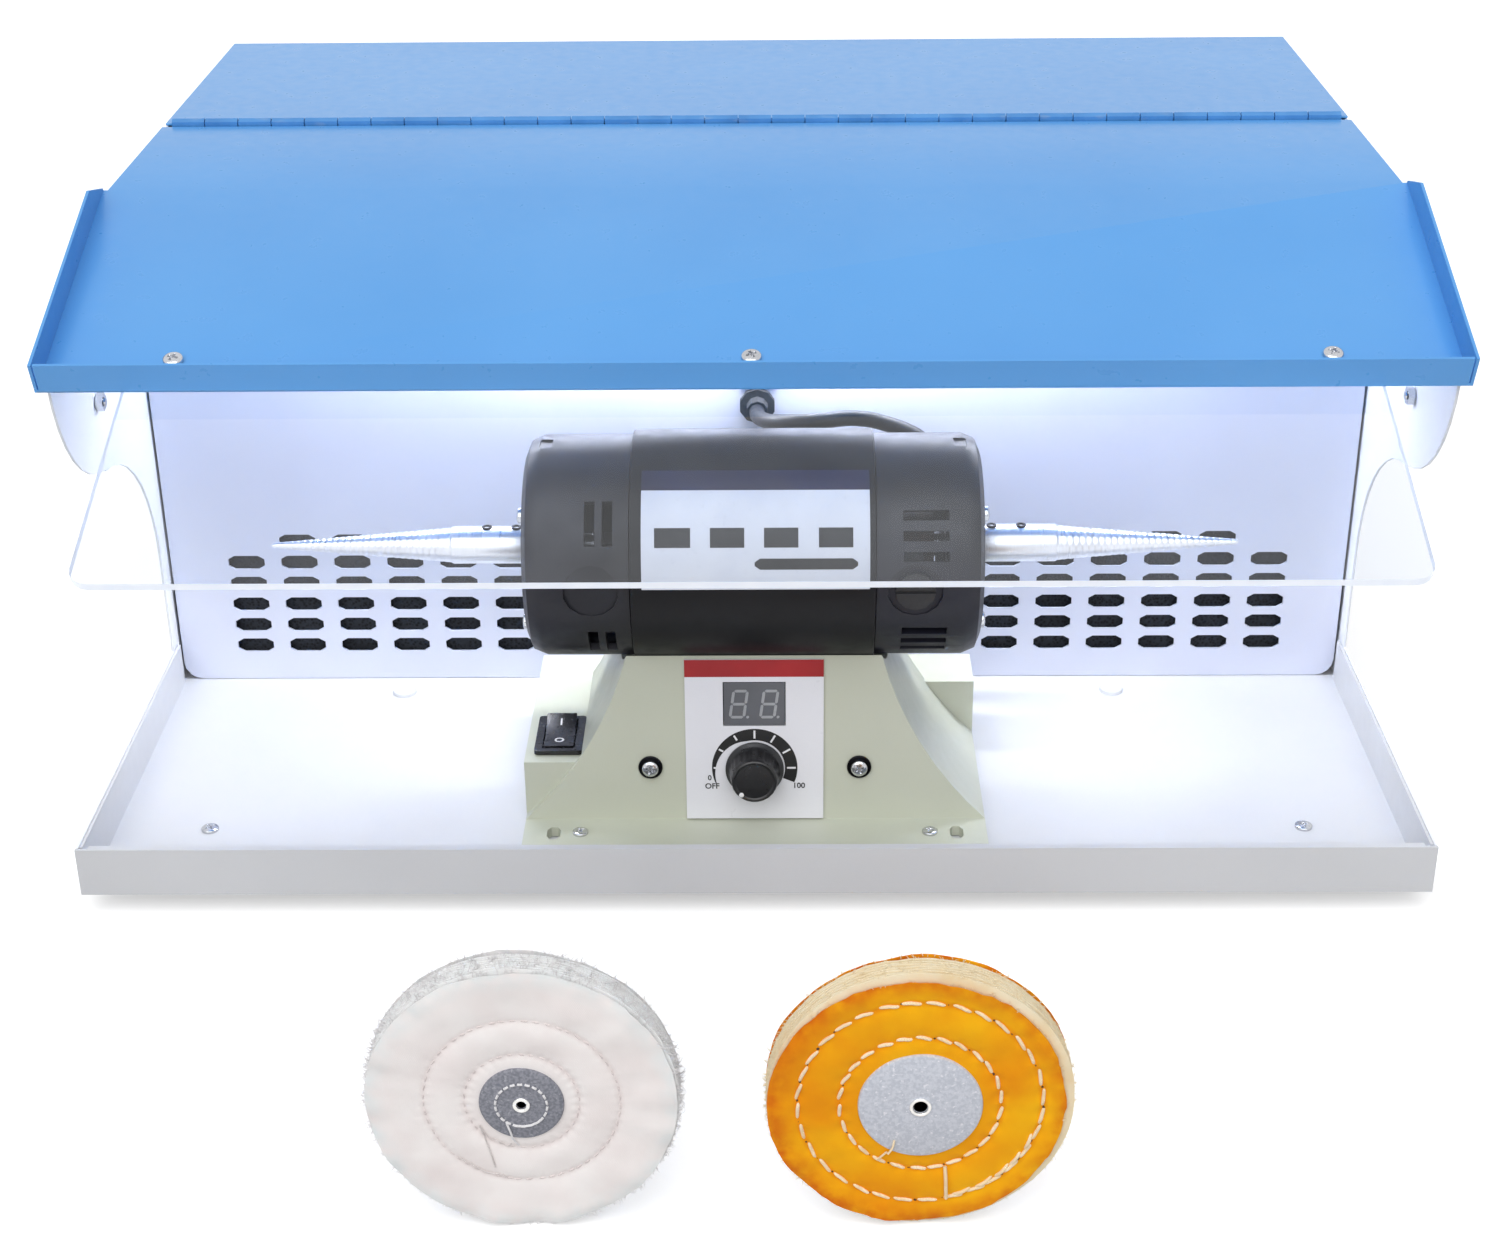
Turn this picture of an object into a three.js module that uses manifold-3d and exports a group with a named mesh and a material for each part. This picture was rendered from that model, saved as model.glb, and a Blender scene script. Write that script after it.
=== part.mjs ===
// Bench buffer: a double-ended polishing motor on a cast pedestal, standing in a sheet steel tray
// under a hinged hood with a clear shield, and two loose stitched buffing wheels in front of it.
// Millimetres, +Z up, X to the right, Y to the rear. The machine is drawn with the front of the
// tray at y = 0 and the tray's underside at z = 0, then moved so that the origin is the middle of
// the footprint on the surface it stands on.

import * as THREE from 'three';
import { mergeVertices } from 'three/addons/utils/BufferGeometryUtils.js';
import Module from 'manifold-3d';

const wasm = await Module();
wasm.setup();

// Shared values
const SEAT = 0.3;
const OVERRUN = 5;
const WELD = 0.0001;
const QUARTER_TURN = 90;
const HALF_TURN = 180;
const FULL_TURN = 360;
const DEGREE = Math.PI / HALF_TURN;

// Cabinet sheet metal
const SHEET = 1.2;
const CABINET_WIDTH = 540;
const CABINET_DEPTH = 428;
const CABINET_HEIGHT = 240;
const LIP_HEIGHT = 21;
const HEM_WIDTH = 3.4;
const CORNER_NOTCH = 1;
const INNER_FLANGE = 12;

// Side panels: the wing that carries the hood and the waist cut below it
const WING_FRONT = 5;
const BROW_RADIUS = 67;
const BROW_START_ANGLE = 185.76;
const BROW_END_ANGLE = 261;
const WAIST_EDGE_Y = 170;
const WAIST_DROP = 70.84;
const WAIST_RADIUS = 70.8;
const WAIST_START_ANGLE = 83.2;
const SIDE_SCREW_Y = 108;
const SIDE_SCREW_DROP = 71;

// Hood flap
const FLAP_BEND_Y = 168;
const FLAP_SLOPE = 19;
const FLAP_LENGTH = 128.5;
const FLAP_WING = 3;
const FLAP_LIP = 12;
const FLAP_LIP_START = 1;
const FLAP_LIP_RAMP = 17;
const FLAP_CORNER_GAP = 0.6;
const REAR_FLANGE = 22;

// Piano hinge
const HINGE_Y = 270;
const HINGE_RISE = 0.6;
const HINGE_END_GAP = 4;
const KNUCKLE_COUNT = 35;
const KNUCKLE_RADIUS = 2.4;
const KNUCKLE_GAP = 0.5;
const HINGE_PIN_RADIUS = 1.1;
const LEAF_THICKNESS = 1;
const LEAF_WIDTH = 19;
const HINGE_RELIEF = 0.1;
const TONGUE_OVERLAP = 0.3;
const HOOD_EDGE_RELIEF = 3.2;
const KNUCKLE_SIDES = 6;
const PIN_SIDES = 6;

// Clear shield
const SHIELD_SIDE_INSET = 29.7;
const SHIELD_THICKNESS = 3;
const SHIELD_OVERLAP = 26;
const SHIELD_DROP = 103;
const SHIELD_CORNER = 8;
const SHIELD_BOLT_SIDE_INSET = 17.6;
const SHIELD_BOLT_INSET = 16.5;

// Grille panel, its slots and the filter behind it
const GRILLE_Y = 180;
const GRILLE_SIDE_GAP = 1;
const GRILLE_CORNER = 8;
const SLOT_LENGTH = 17.5;
const SLOT_WIDTH = 6.8;
const SLOT_PITCH_X = 24.2;
const SLOT_PITCH_Z = 10.6;
const SLOT_FIRST_X = 112;
const SLOT_FIRST_Z = 19;
const SLOT_COLUMNS = 6;
const SLOT_ROWS = 6;
const SLOT_END_STEPS = 3;
const FILTER_THICKNESS = 20;
const FILTER_INSET = 10;

// Rear wall: exhaust slots, fans and mains inlet
const EXHAUST_SLOT_LENGTH = 96;
const EXHAUST_SLOT_WIDTH = 6;
const EXHAUST_PITCH = 12;
const EXHAUST_SLOTS = 8;
const FAN_X = 120;
const FAN_Z = 118;
const FAN_SIZE = 120;
const FAN_DEPTH = 25;
const FAN_CORNER = 6;
const FAN_BORE_RADIUS = 57;
const FAN_HUB_RADIUS = 20;
const FAN_TIP_CLEARANCE = 3;
const FAN_ROTOR_DEPTH = 17;
const FAN_STRUT = 5;
const FAN_BACK = 4;
const FAN_BLADES = 7;
const FAN_BLADE_THICKNESS = 1.6;
const FAN_BLADE_ANGLE = 42;
const FAN_STUB_RADIUS = 2;
const INLET_INSET = 65;
const INLET_Z = 42;
const INLET_WIDTH = 48;
const INLET_HEIGHT = 23;
const INLET_FLANGE = 2.5;
const INLET_BODY_WIDTH = 27.5;
const INLET_BODY_HEIGHT = 19.5;
const INLET_BODY_DEPTH = 22;
const INLET_WALL = 2;
const INLET_POCKET = 16;
const INLET_PIN_WIDTH = 2;
const INLET_PIN_HEIGHT = 4;
const INLET_PIN_SPACING = 7;
const INLET_PIN_RISE = 2;

// Lamp under the hood
const LAMP_LENGTH = 400;
const LAMP_DROP = 36;
const LAMP_HEIGHT = 18;
const LAMP_DEPTH = 12;
const LAMP_WALL = 1.5;
const LAMP_LENS_INSET = 1;

// Feet and tray fasteners
const FOOT_HEIGHT = 10;
const FOOT_RADIUS = 11;
const FOOT_TAPER = 2;
const FOOT_POCKET_RADIUS = 5;
const FOOT_POCKET_DEPTH = 4;
const FOOT_INSET = 42;
const FOOT_FRONT_Y = 47;
const FOOT_REAR_INSET = 43;
const TRAY_RIVET_X = 163;
const TRAY_RIVET_Y = 166;
const TRAY_RIVET_RADIUS = 5.5;
const TRAY_RIVET_HEIGHT = 1.6;
const RIVET_RIM = 0.5;
const M4_RADIUS = 2;
const M4_HEAD_RADIUS = 3.9;
const M4_HEAD_HEIGHT = 2.4;
const M4_HEAD_CROWN = 0.8;
const M4_NUT_RADIUS = 3.9;
const M4_NUT_HEIGHT = 3;
const SCREW_TAIL = 6;
const BOLT_TAIL = 1;

// Pedestal casting
const PEDESTAL_HALF_BASE = 95.5;
const PEDESTAL_HALF_NECK = 51.6;
const PEDESTAL_FLARE_RADIUS = 155;
const PEDESTAL_HEIGHT_SHARE = 1 / 3;
const PEDESTAL_WALL = 3;
const PEDESTAL_FLANGE = 4.5;
const PEDESTAL_FLANGE_FRONT = 24;
const PEDESTAL_FACE_Y = 47;
const PEDESTAL_LEAN = 5;
const PEDESTAL_COLUMN_BACK = 123;
const PEDESTAL_BACK = 146;
const PEDESTAL_BACK_DROP = 49;
const PEDESTAL_SLOT_X = 83;
const PEDESTAL_SLOT_Y = 36;
const PEDESTAL_SLOT_LENGTH = 10;
const PEDESTAL_SLOT_WIDTH = 5.5;
const FACE_SCREW_X = 43;
const FACE_WASHER_RADIUS = 5;
const FACE_WASHER_THICKNESS = 1;
const FLARE_STEPS = 8;
const FACE_CUT_DEPTH = 20;
const SHELF_CUT = 10;

// Switch box on the left of the pedestal and its rocker switch
const SWITCH_BOX_INNER_X = 72;
const SWITCH_BOX_FRONT = 51;
const SWITCH_BOX_TOP = 31;
const SWITCH_X = 81.8;
const SWITCH_Y = 71.4;
const SWITCH_WIDTH = 20;
const SWITCH_LENGTH = 30;
const SWITCH_BEZEL = 2;
const SWITCH_BODY_DEPTH = 17;
const SWITCH_BODY_INSET = 1.5;
const SWITCH_WINDOW_WIDTH = 13.4;
const SWITCH_WINDOW_LENGTH = 24.6;
const SWITCH_POCKET = 12;
const ROCKER_SIDE_GAP = 0.35;
const ROCKER_HALF_LENGTH = 11.5;
const ROCKER_HEEL = 3.6;
const ROCKER_WAIST = 1.4;
const ROCKER_KEEL_HALF = 10;
const ROCKER_KEEL = 4.5;
const ROCKER_TILT = 8;

// Control plate, display, knob and what they sit on
const PLATE_HALF_WIDTH = 28.3;
const PLATE_THICKNESS = 1;
const PLATE_MARGIN = 0.8;
const PLATE_SHORTFALL = 8.5;
const DISPLAY_WIDTH = 25;
const DISPLAY_HEIGHT = 19;
const DISPLAY_DROP = 27.3;
const DISPLAY_DEPTH = 14;
const KNOB_HEIGHT_SHARE = 0.3;
const KNOB_SKIRT_RADIUS = 12;
const KNOB_SKIRT_HEIGHT = 2.6;
const KNOB_CAP_RADIUS = 9.6;
const KNOB_CAP_TOP_RADIUS = 8.6;
const KNOB_HEIGHT = 13;
const KNOB_EDGE = 1;
const KNOB_LIFT = 0.6;
const KNOB_SHAFT_RADIUS = 3;
const BUSHING_RADIUS = 3.9;
const POT_RADIUS = 8.5;
const POT_DEPTH = 9;
const BOARD_THICKNESS = 1.6;
const BOARD_HALF_WIDTH = 24;
const BOARD_LOW = 14;
const BOARD_DROP = 20;

// Motor
const MOTOR_Y = 85;
const MOTOR_RISE = 34.5;
const CAN_RADIUS = 47.2;
const CAN_WALL = 2.5;
const CAN_HALF_LENGTH = 48.3;
const BELL_RADIUS = 45.2;
const BELL_WALL = 3;
const BELL_CORNER = 7;
const MOTOR_HALF_LENGTH = 91.5;
const SHAFT_RADIUS = 5;
const BEARING_RADIUS = 11;
const BEARING_WIDTH = 7;
const BEARING_BOSS_WALL = 2.7;
const BEARING_BOSS_DEPTH = 9;
const STATOR_HALF_LENGTH = 32;
const STATOR_BORE = 27.5;
const STATOR_YOKE = 9;
const POLE_ARC = 62;
const ARMATURE_RADIUS = 26.5;
const ARMATURE_HALF_LENGTH = 29;
const ARMATURE_SLOTS = 12;
const ARMATURE_SLOT_DEPTH = 9;
const TOOTH_TIP_SHARE = 0.38;
const SLOT_FLOOR_START_SHARE = 0.36;
const SLOT_FLOOR_END_SHARE = 0.64;
const COMMUTATOR_RADIUS = 13;
const COMMUTATOR_LENGTH = 18;
const BRUSH_X = 64;
const BRUSH_WIDTH = 8;
const BRUSH_HEIGHT = 11;
const BRUSH_RUNNING_GAP = 0.5;
const BRUSH_CAP_RADIUS = 8;
const BRUSH_CAP_THICKNESS = 2;
const BRUSH_CAP_GROOVE = 1.3;
const BRUSH_HOLDER_START = 6;
const BRUSH_TUBE_START = 9;
const BRUSH_RECESS_RADIUS = 11;
const BRUSH_RECESS_DEPTH = 2;
const BRUSH_BORE_RADIUS = 6.6;
const COOLING_FAN_RADIUS = 38;
const COOLING_FAN_HUB = 10;
const COOLING_FAN_BLADES = 9;
const COOLING_FAN_BLADE = 1.6;
const COOLING_FAN_DEPTH = 10;
const COOLING_FAN_PLATE = 1.6;
const COOLING_FAN_X = 52;
const AXIAL_VENT_LENGTH = 18;
const AXIAL_VENT_WIDTH = 4;
const AXIAL_VENT_X = 68;
const RING_VENT_WIDTH = 4;
const RING_VENT_PITCH = 7;
const RING_VENT_X = 60.5;
const AXIAL_VENT_ANGLES = [39, 28.5, 18, -26, -35, -44];
const RING_VENT_SPANS = [[24, 47], [-47, -26]];
const VENT_DEPTH = 6;
const RIM_NOTCH_X = 83;
const RIM_NOTCH_WIDTH = 5;
const RIM_NOTCH_LENGTH = 8;
const RIM_NOTCH_DEPTH = 1.2;
const MOTOR_SIDES = 30;

// Tapered spindles
const SPINDLE_START = 92.4;
const SPINDLE_COLLAR_END = 124;
const SPINDLE_TIP = 198;
const SPINDLE_COLLAR_RADIUS = 7.75;
const SPINDLE_TAPER_RADIUS = 7.2;
const SPINDLE_TIP_RADIUS = 1.2;
const SPINDLE_EDGE = 0.8;
const SPINDLE_BORE_DEPTH = 26;
const SET_SCREW_FIRST = 97;
const SET_SCREW_SPACING = 12;
const SET_SCREW_RADIUS = 1.9;
const SET_SCREW_PROUD = 0.5;

// Motor lead, its grommet, clip and gland; the heights of its route are above the motor's axis
const LEAD_RADIUS = 3.35;
const LEAD_SIDES = 8;
const LEAD_STEPS = 30;
const LEAD_ROUTE = [
  [1, 174, 23.5], [1, 167, 23.8], [2.1, 159.6, 25.2], [4.8, 153, 26.5], [9.1, 147.3, 28.2],
  [14.8, 142.9, 29.9], [22.3, 139.6, 31.4], [30.7, 138.5, 32.4], [40.2, 139.4, 33], [49, 139.3, 32.3],
  [55.1, 139.5, 30.6], [63.5, 140.2, 27.3], [70.8, 141.5, 22.7], [76.1, 143, 17.4], [80.1, 144.7, 11.4],
  [82.7, 147.3, 4.9], [83.9, 150.1, -2.7], [84, 153.4, -15.5], [85.5, 155.5, -23.3],
  [86.4, 159.8, -36.6], [82.6, 162.8, -48], [77.5, 164.1, -54.7], [72, 164.6, -58.8],
  [65, 164.6, -61.8], [56.3, 164.3, -63.1], [49.8, 163, -63], [43.4, 160, -62.8], [38.2, 155.9, -62.7],
  [33.8, 150.1, -62.6], [31, 142.9, -62.5], [30, 136, -62.5],
];
const GROMMET_X = 1;
const GROMMET_RISE = 23.5;
const GROMMET_RADIUS = 8;
const GROMMET_GROOVE_RADIUS = 6;
const GROMMET_LIP = 3;
const GROMMET_NOSE = 9;
const GROMMET_NOSE_RADIUS = 4.8;
const CLIP_HALF_WIDTH = 8.5;
const CLIP_BOTTOM = 9.5;
const CLIP_HEIGHT = 7;
const CLIP_THICKNESS = 1.5;
const CLIP_CORNER = 1;
const GLAND_X = 30;
const GLAND_DROP = 28;
const GLAND_FLANGE_RADIUS = 7.5;
const GLAND_FLANGE = 2.5;
const GLAND_NOSE_RADIUS = 5;
const GLAND_NOSE = 9;
const GLAND_TAIL_RADIUS = 4.2;
const GLAND_TAIL = 6;

// Buffing wheels, standing on their edges in front of the tray
const WHEEL_FACE_Y = -183;
const WHEEL_THICKNESS = 11;
const WHEEL_PLIES = 3;
const WHEEL_PLY_NOTCH = 1.6;
const WHEEL_CROWN = 1.2;
const CROWN_START_SHARE = 0.55;
const CROWN_FULL_SHARE = 0.9;
const WHEEL_SIDES = 32;
const WHITE_WHEEL_X = -73.4;
const WHITE_WHEEL_RADIUS = 51.5;
const WHITE_HUB_RADIUS = 13.8;
const WHITE_BORE_RADIUS = 1.5;
const YELLOW_WHEEL_X = 55.3;
const YELLOW_WHEEL_RADIUS = 50.5;
const YELLOW_HUB_RADIUS = 20.2;
const YELLOW_BORE_RADIUS = 2.3;
const HUB_DISC = 1.6;
const HUB_EDGE = 0.4;
const EYELET_WALL = 0.8;

// Derived places in the cabinet
const HALF_WIDTH = CABINET_WIDTH / 2;
const HINGE_LENGTH = CABINET_WIDTH - HINGE_END_GAP * 2;
const SHIELD_HALF = HALF_WIDTH - SHIELD_SIDE_INSET;
const SHIELD_BOLT_X = SHIELD_HALF - SHIELD_BOLT_SIDE_INSET;
const INLET_X = HALF_WIDTH - INLET_INSET;
const FOOT_X = HALF_WIDTH - FOOT_INSET;
const FOOT_REAR_Y = CABINET_DEPTH - FOOT_REAR_INSET;
const SIDE_SCREW_Z = CABINET_HEIGHT - SIDE_SCREW_DROP;
const LAMP_Z = CABINET_HEIGHT - LAMP_DROP;
const WALL_INSIDE = HALF_WIDTH - SHEET;
const FIT_INSIDE = WALL_INSIDE - SEAT;
const GRILLE_HALF = FIT_INSIDE - GRILLE_SIDE_GAP;
const ON_FLOOR = SHEET + SEAT;
const UNDER_HOOD = CABINET_HEIGHT - SHEET - SEAT;
const REAR_FACE = CABINET_DEPTH - SHEET - SEAT;
const REAR_INSIDE = REAR_FACE - SHEET;
const HINGE_Z = CABINET_HEIGHT + HINGE_RISE;
const FLANGE_TOP = ON_FLOOR + PEDESTAL_FLANGE;
const SIDES = { left: -1, right: 1 };
const FOOT_PLACES = {
  front_left: [-FOOT_X, FOOT_FRONT_Y],
  front_right: [FOOT_X, FOOT_FRONT_Y],
  rear_left: [-FOOT_X, FOOT_REAR_Y],
  rear_right: [FOOT_X, FOOT_REAR_Y],
};
const SLOPE = FLAP_SLOPE * DEGREE;
const LEAN = PEDESTAL_LEAN * DEGREE;

// Derived places on the pedestal, whose height follows the cabinet's, and of the motor on it
const PEDESTAL_HEIGHT = CABINET_HEIGHT * PEDESTAL_HEIGHT_SHARE;
const PEDESTAL_BACK_HEIGHT = PEDESTAL_HEIGHT - PEDESTAL_BACK_DROP;
const PLATE_HEIGHT = PEDESTAL_HEIGHT - PLATE_SHORTFALL;
const DISPLAY_CENTRE = PEDESTAL_HEIGHT - DISPLAY_DROP;
const KNOB_CENTRE = PEDESTAL_HEIGHT * KNOB_HEIGHT_SHARE;
const FACE_SCREW_HEIGHT = KNOB_CENTRE;
const BOARD_HIGH = PEDESTAL_HEIGHT - BOARD_DROP;
const MOTOR_Z = PEDESTAL_HEIGHT + MOTOR_RISE;
const GROMMET_Z = MOTOR_Z + GROMMET_RISE;
const GLAND_Z = PEDESTAL_HEIGHT - GLAND_DROP;

// Finishes, one material per node
const FINISHES = {
  white_paint: { color: 0xeef0f4, roughness: 0.35, metalness: 0 },
  blue_paint: { color: 0x5f9bd8, roughness: 0.32, metalness: 0 },
  lilac_paint: { color: 0xdfe2f4, roughness: 0.4, metalness: 0 },
  steel: { color: 0xb9bcc0, roughness: 0.3, metalness: 1 },
  clear: { color: 0xe8f2f8, roughness: 0.05, metalness: 0 },
  beige_paint: { color: 0xb2b4a0, roughness: 0.42, metalness: 0 },
  black_gloss: { color: 0x17171a, roughness: 0.2, metalness: 0 },
  black_plastic: { color: 0x1c1c1e, roughness: 0.45, metalness: 0 },
  dark_rubber: { color: 0x202022, roughness: 0.8, metalness: 0 },
  plate: { color: 0xf2f2f4, roughness: 0.35, metalness: 0 },
  display: { color: 0x44464a, roughness: 0.2, metalness: 0 },
  board: { color: 0x1f6b45, roughness: 0.5, metalness: 0 },
  copper: { color: 0xb66a3a, roughness: 0.35, metalness: 1 },
  laminate: { color: 0x8c8f94, roughness: 0.5, metalness: 1 },
  spindle: { color: 0xe3e4e8, roughness: 0.25, metalness: 1 },
  filter: { color: 0x3c3f44, roughness: 0.95, metalness: 0 },
  lens: { color: 0xf4f8ff, roughness: 0.3, metalness: 0 },
  white_cloth: { color: 0xeee4e2, roughness: 0.95, metalness: 0 },
  yellow_cloth: { color: 0xf39b12, roughness: 0.95, metalness: 0 },
  grey_hub: { color: 0x6e7078, roughness: 0.85, metalness: 0 },
  pale_hub: { color: 0xb9bfca, roughness: 0.85, metalness: 0 },
};

// Closed geometry helpers

function toSolid(geometry) {
  const bare = geometry.clone();
  bare.deleteAttribute('normal');
  bare.deleteAttribute('uv');
  const merged = mergeVertices(bare, WELD);
  const triangles = [];
  for (let i = 0; i < merged.index.count; i += 3) {
    const a = merged.index.getX(i);
    const b = merged.index.getX(i + 1);
    const c = merged.index.getX(i + 2);
    if (a !== b && b !== c && c !== a) triangles.push(a, b, c);
  }
  const vertProperties = Float32Array.from(merged.attributes.position.array);
  const triVerts = Uint32Array.from(triangles);
  return new wasm.Manifold(new wasm.Mesh({ numProp: 3, vertProperties, triVerts }));
}

function toGeometry(solid) {
  const mesh = solid.getMesh();
  const geometry = new THREE.BufferGeometry();
  geometry.setAttribute('position', new THREE.BufferAttribute(mesh.vertProperties, 3));
  geometry.setIndex(new THREE.BufferAttribute(mesh.triVerts, 1));
  geometry.computeVertexNormals();
  return geometry;
}

function join(geometries) {
  let solid = toSolid(geometries[0]);
  for (const geometry of geometries.slice(1)) solid = solid.add(toSolid(geometry));
  return toGeometry(solid);
}

function cut(geometry, cutters) {
  let solid = toSolid(geometry);
  for (const cutter of cutters) solid = solid.subtract(toSolid(cutter));
  return toGeometry(solid);
}

function common(first, second) {
  return toGeometry(toSolid(first).intersect(toSolid(second)));
}

// Box between two corners
function box(x0, x1, y0, y1, z0, z1) {
  const geometry = new THREE.BoxGeometry(x1 - x0, y1 - y0, z1 - z0);
  return geometry.translate((x0 + x1) / 2, (y0 + y1) / 2, (z0 + z1) / 2);
}

// Rod of a given radius between two places along one axis, centred on the other two
function rod(axis, radius, from, to, centre, sides = 16) {
  const geometry = new THREE.CylinderGeometry(radius, radius, to - from, sides);
  geometry.translate(0, (from + to) / 2, 0);
  return turnTo(axis, geometry).translate(...centre);
}

// Turns a shape whose axis is +Y so that its axis is +X, +Y or +Z
function turnTo(axis, geometry) {
  if (axis === 'x') return geometry.rotateZ(-Math.PI / 2);
  if (axis === 'z') return geometry.rotateX(Math.PI / 2);
  return geometry;
}

// Revolves a closed profile of [radius, height] points about an axis
function revolve(axis, profile, centre, sides) {
  const points = profile.map(([radius, height]) => new THREE.Vector2(radius, height));
  return turnTo(axis, new THREE.LatheGeometry(points, sides)).translate(...centre);
}

function ring(axis, inner, outer, from, to, centre, sides) {
  const profile = [[inner, from], [outer, from], [outer, to], [inner, to], [inner, from]];
  return revolve(axis, profile, centre, sides);
}

function polygon(points) {
  return new THREE.Shape(points.map(([a, b]) => new THREE.Vector2(a, b)));
}

function flatExtrude(shape, depth, curveSegments) {
  return new THREE.ExtrudeGeometry(shape, { depth, bevelEnabled: false, curveSegments });
}

// Extrudes a shape drawn in (y, z) along X, in (x, z) along Y, or in (x, y) along Z
function extrudeX(shape, x0, x1, curveSegments = 4) {
  const toX = new THREE.Matrix4().makeBasis(
    new THREE.Vector3(0, 1, 0), new THREE.Vector3(0, 0, 1), new THREE.Vector3(1, 0, 0));
  return flatExtrude(shape, x1 - x0, curveSegments).applyMatrix4(toX).translate(x0, 0, 0);
}

function extrudeY(shape, y0, y1, curveSegments = 4) {
  return flatExtrude(shape, y1 - y0, curveSegments).rotateX(Math.PI / 2).translate(0, y1, 0);
}

function extrudeZ(shape, z0, z1, curveSegments = 4) {
  return flatExtrude(shape, z1 - z0, curveSegments).translate(0, 0, z0);
}

// Slot outline with round ends, long along its first axis or its second
function slotShape(centreA, centreB, length, width, alongFirst = true) {
  const radius = width / 2;
  const reach = length / 2 - radius;
  const start = alongFirst ? -QUARTER_TURN : 0;
  const a = alongFirst ? reach : 0;
  const b = alongFirst ? 0 : reach;
  return polygon([
    ...arcPoints(centreA + a, centreB + b, radius, start, start + HALF_TURN, SLOT_END_STEPS),
    ...arcPoints(
      centreA - a, centreB - b, radius, start + HALF_TURN, start + FULL_TURN, SLOT_END_STEPS),
  ]);
}

// Rectangle with rounded corners between two corners of a plane
function roundedRectangle(a0, a1, b0, b1, radius) {
  const shape = new THREE.Shape();
  shape.absarc(a1 - radius, b0 + radius, radius, -Math.PI / 2, 0, false);
  shape.absarc(a1 - radius, b1 - radius, radius, 0, Math.PI / 2, false);
  shape.absarc(a0 + radius, b1 - radius, radius, Math.PI / 2, Math.PI, false);
  shape.absarc(a0 + radius, b0 + radius, radius, Math.PI, 3 * Math.PI / 2, false);
  return shape;
}

// Points on the hollow arc of a given radius from one point to another, bulging to the left
function hollowArc([a0, b0], [a1, b1], radius, steps) {
  const half = Math.hypot(a1 - a0, b1 - b0) / 2;
  const rise = Math.sqrt(radius * radius - half * half);
  const centreA = (a0 + a1) / 2 + (b1 - b0) / (2 * half) * rise;
  const centreB = (b0 + b1) / 2 - (a1 - a0) / (2 * half) * rise;
  const start = Math.atan2(b0 - centreB, a0 - centreA);
  const end = Math.atan2(b1 - centreB, a1 - centreA);
  const sweep = Math.atan2(Math.sin(end - start), Math.cos(end - start));
  return Array.from({ length: steps + 1 }, (_, i) => {
    const angle = start + sweep * i / steps;
    return [centreA + radius * Math.cos(angle), centreB + radius * Math.sin(angle)];
  });
}

function arcPoints(centreA, centreB, radius, fromDegrees, toDegrees, steps) {
  return Array.from({ length: steps + 1 }, (_, i) => {
    const angle = (fromDegrees + (toDegrees - fromDegrees) * i / steps) * DEGREE;
    return [centreA + radius * Math.cos(angle), centreB + radius * Math.sin(angle)];
  });
}

// Pan-head screw whose head stands on a face, drawn along +Y with the head towards +Y
function panScrew(shankLength) {
  const profile = [
    [0, -shankLength], [M4_RADIUS, -shankLength], [M4_RADIUS, 0], [M4_HEAD_RADIUS, 0],
    [M4_HEAD_RADIUS, M4_HEAD_HEIGHT - M4_HEAD_CROWN], [M4_HEAD_RADIUS - M4_HEAD_CROWN, M4_HEAD_HEIGHT],
    [0, M4_HEAD_HEIGHT],
  ];
  return new THREE.LatheGeometry(profile.map(([r, h]) => new THREE.Vector2(r, h)), 8);
}

// Pan-head bolt with a hexagon nut at the end of its grip, drawn along +Y like the screw
function boltWithNut(grip) {
  const nut = rod('y', M4_NUT_RADIUS, -grip - M4_NUT_HEIGHT, -grip, [0, 0, 0], 6);
  return join([panScrew(grip + M4_NUT_HEIGHT + BOLT_TAIL), nut]);
}

// The assembly: groups for the machine and for the leaning front of the pedestal
const bench_buffer = new THREE.Group();
const machine = new THREE.Group();
const pedestalFace = new THREE.Group();
machine.position.z = FOOT_HEIGHT;
pedestalFace.position.set(0, PEDESTAL_FACE_Y, FLANGE_TOP);
pedestalFace.rotation.x = -LEAN;
machine.add(pedestalFace);
bench_buffer.add(machine);

function place(group, name, finish, geometry) {
  const mesh = new THREE.Mesh(geometry, new THREE.MeshStandardMaterial(FINISHES[finish]));
  mesh.name = name;
  group.add(mesh);
  return mesh;
}

// Tray: floor, front lip with its hem, low flanges inside the side panels, and two domed rivets
function trayFloor() {
  const flangeEnd = GRILLE_Y - HEM_WIDTH;
  const flangeStart = SHEET + CORNER_NOTCH;
  const hemHalf = FIT_INSIDE - HEM_WIDTH;
  const rivet = [
    [0, SHEET / 2], [TRAY_RIVET_RADIUS, SHEET / 2], [TRAY_RIVET_RADIUS, SHEET + RIVET_RIM],
    [TRAY_RIVET_RADIUS - RIVET_RIM, SHEET + TRAY_RIVET_HEIGHT - RIVET_RIM / 2],
    [0, SHEET + TRAY_RIVET_HEIGHT],
  ];
  return join([
    box(-FIT_INSIDE, FIT_INSIDE, 0, CABINET_DEPTH, 0, SHEET),
    box(-HALF_WIDTH, HALF_WIDTH, 0, SHEET, 0, LIP_HEIGHT),
    box(-hemHalf, hemHalf, 0, HEM_WIDTH, LIP_HEIGHT - SHEET, LIP_HEIGHT),
    box(-FIT_INSIDE, SHEET - FIT_INSIDE, flangeStart, flangeEnd, 0, LIP_HEIGHT),
    box(FIT_INSIDE - SHEET, FIT_INSIDE, flangeStart, flangeEnd, 0, LIP_HEIGHT),
    ...[-1, 1].map((side) => revolve('z', rivet, [side * TRAY_RIVET_X, TRAY_RIVET_Y, 0], 12)),
  ]);
}

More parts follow.
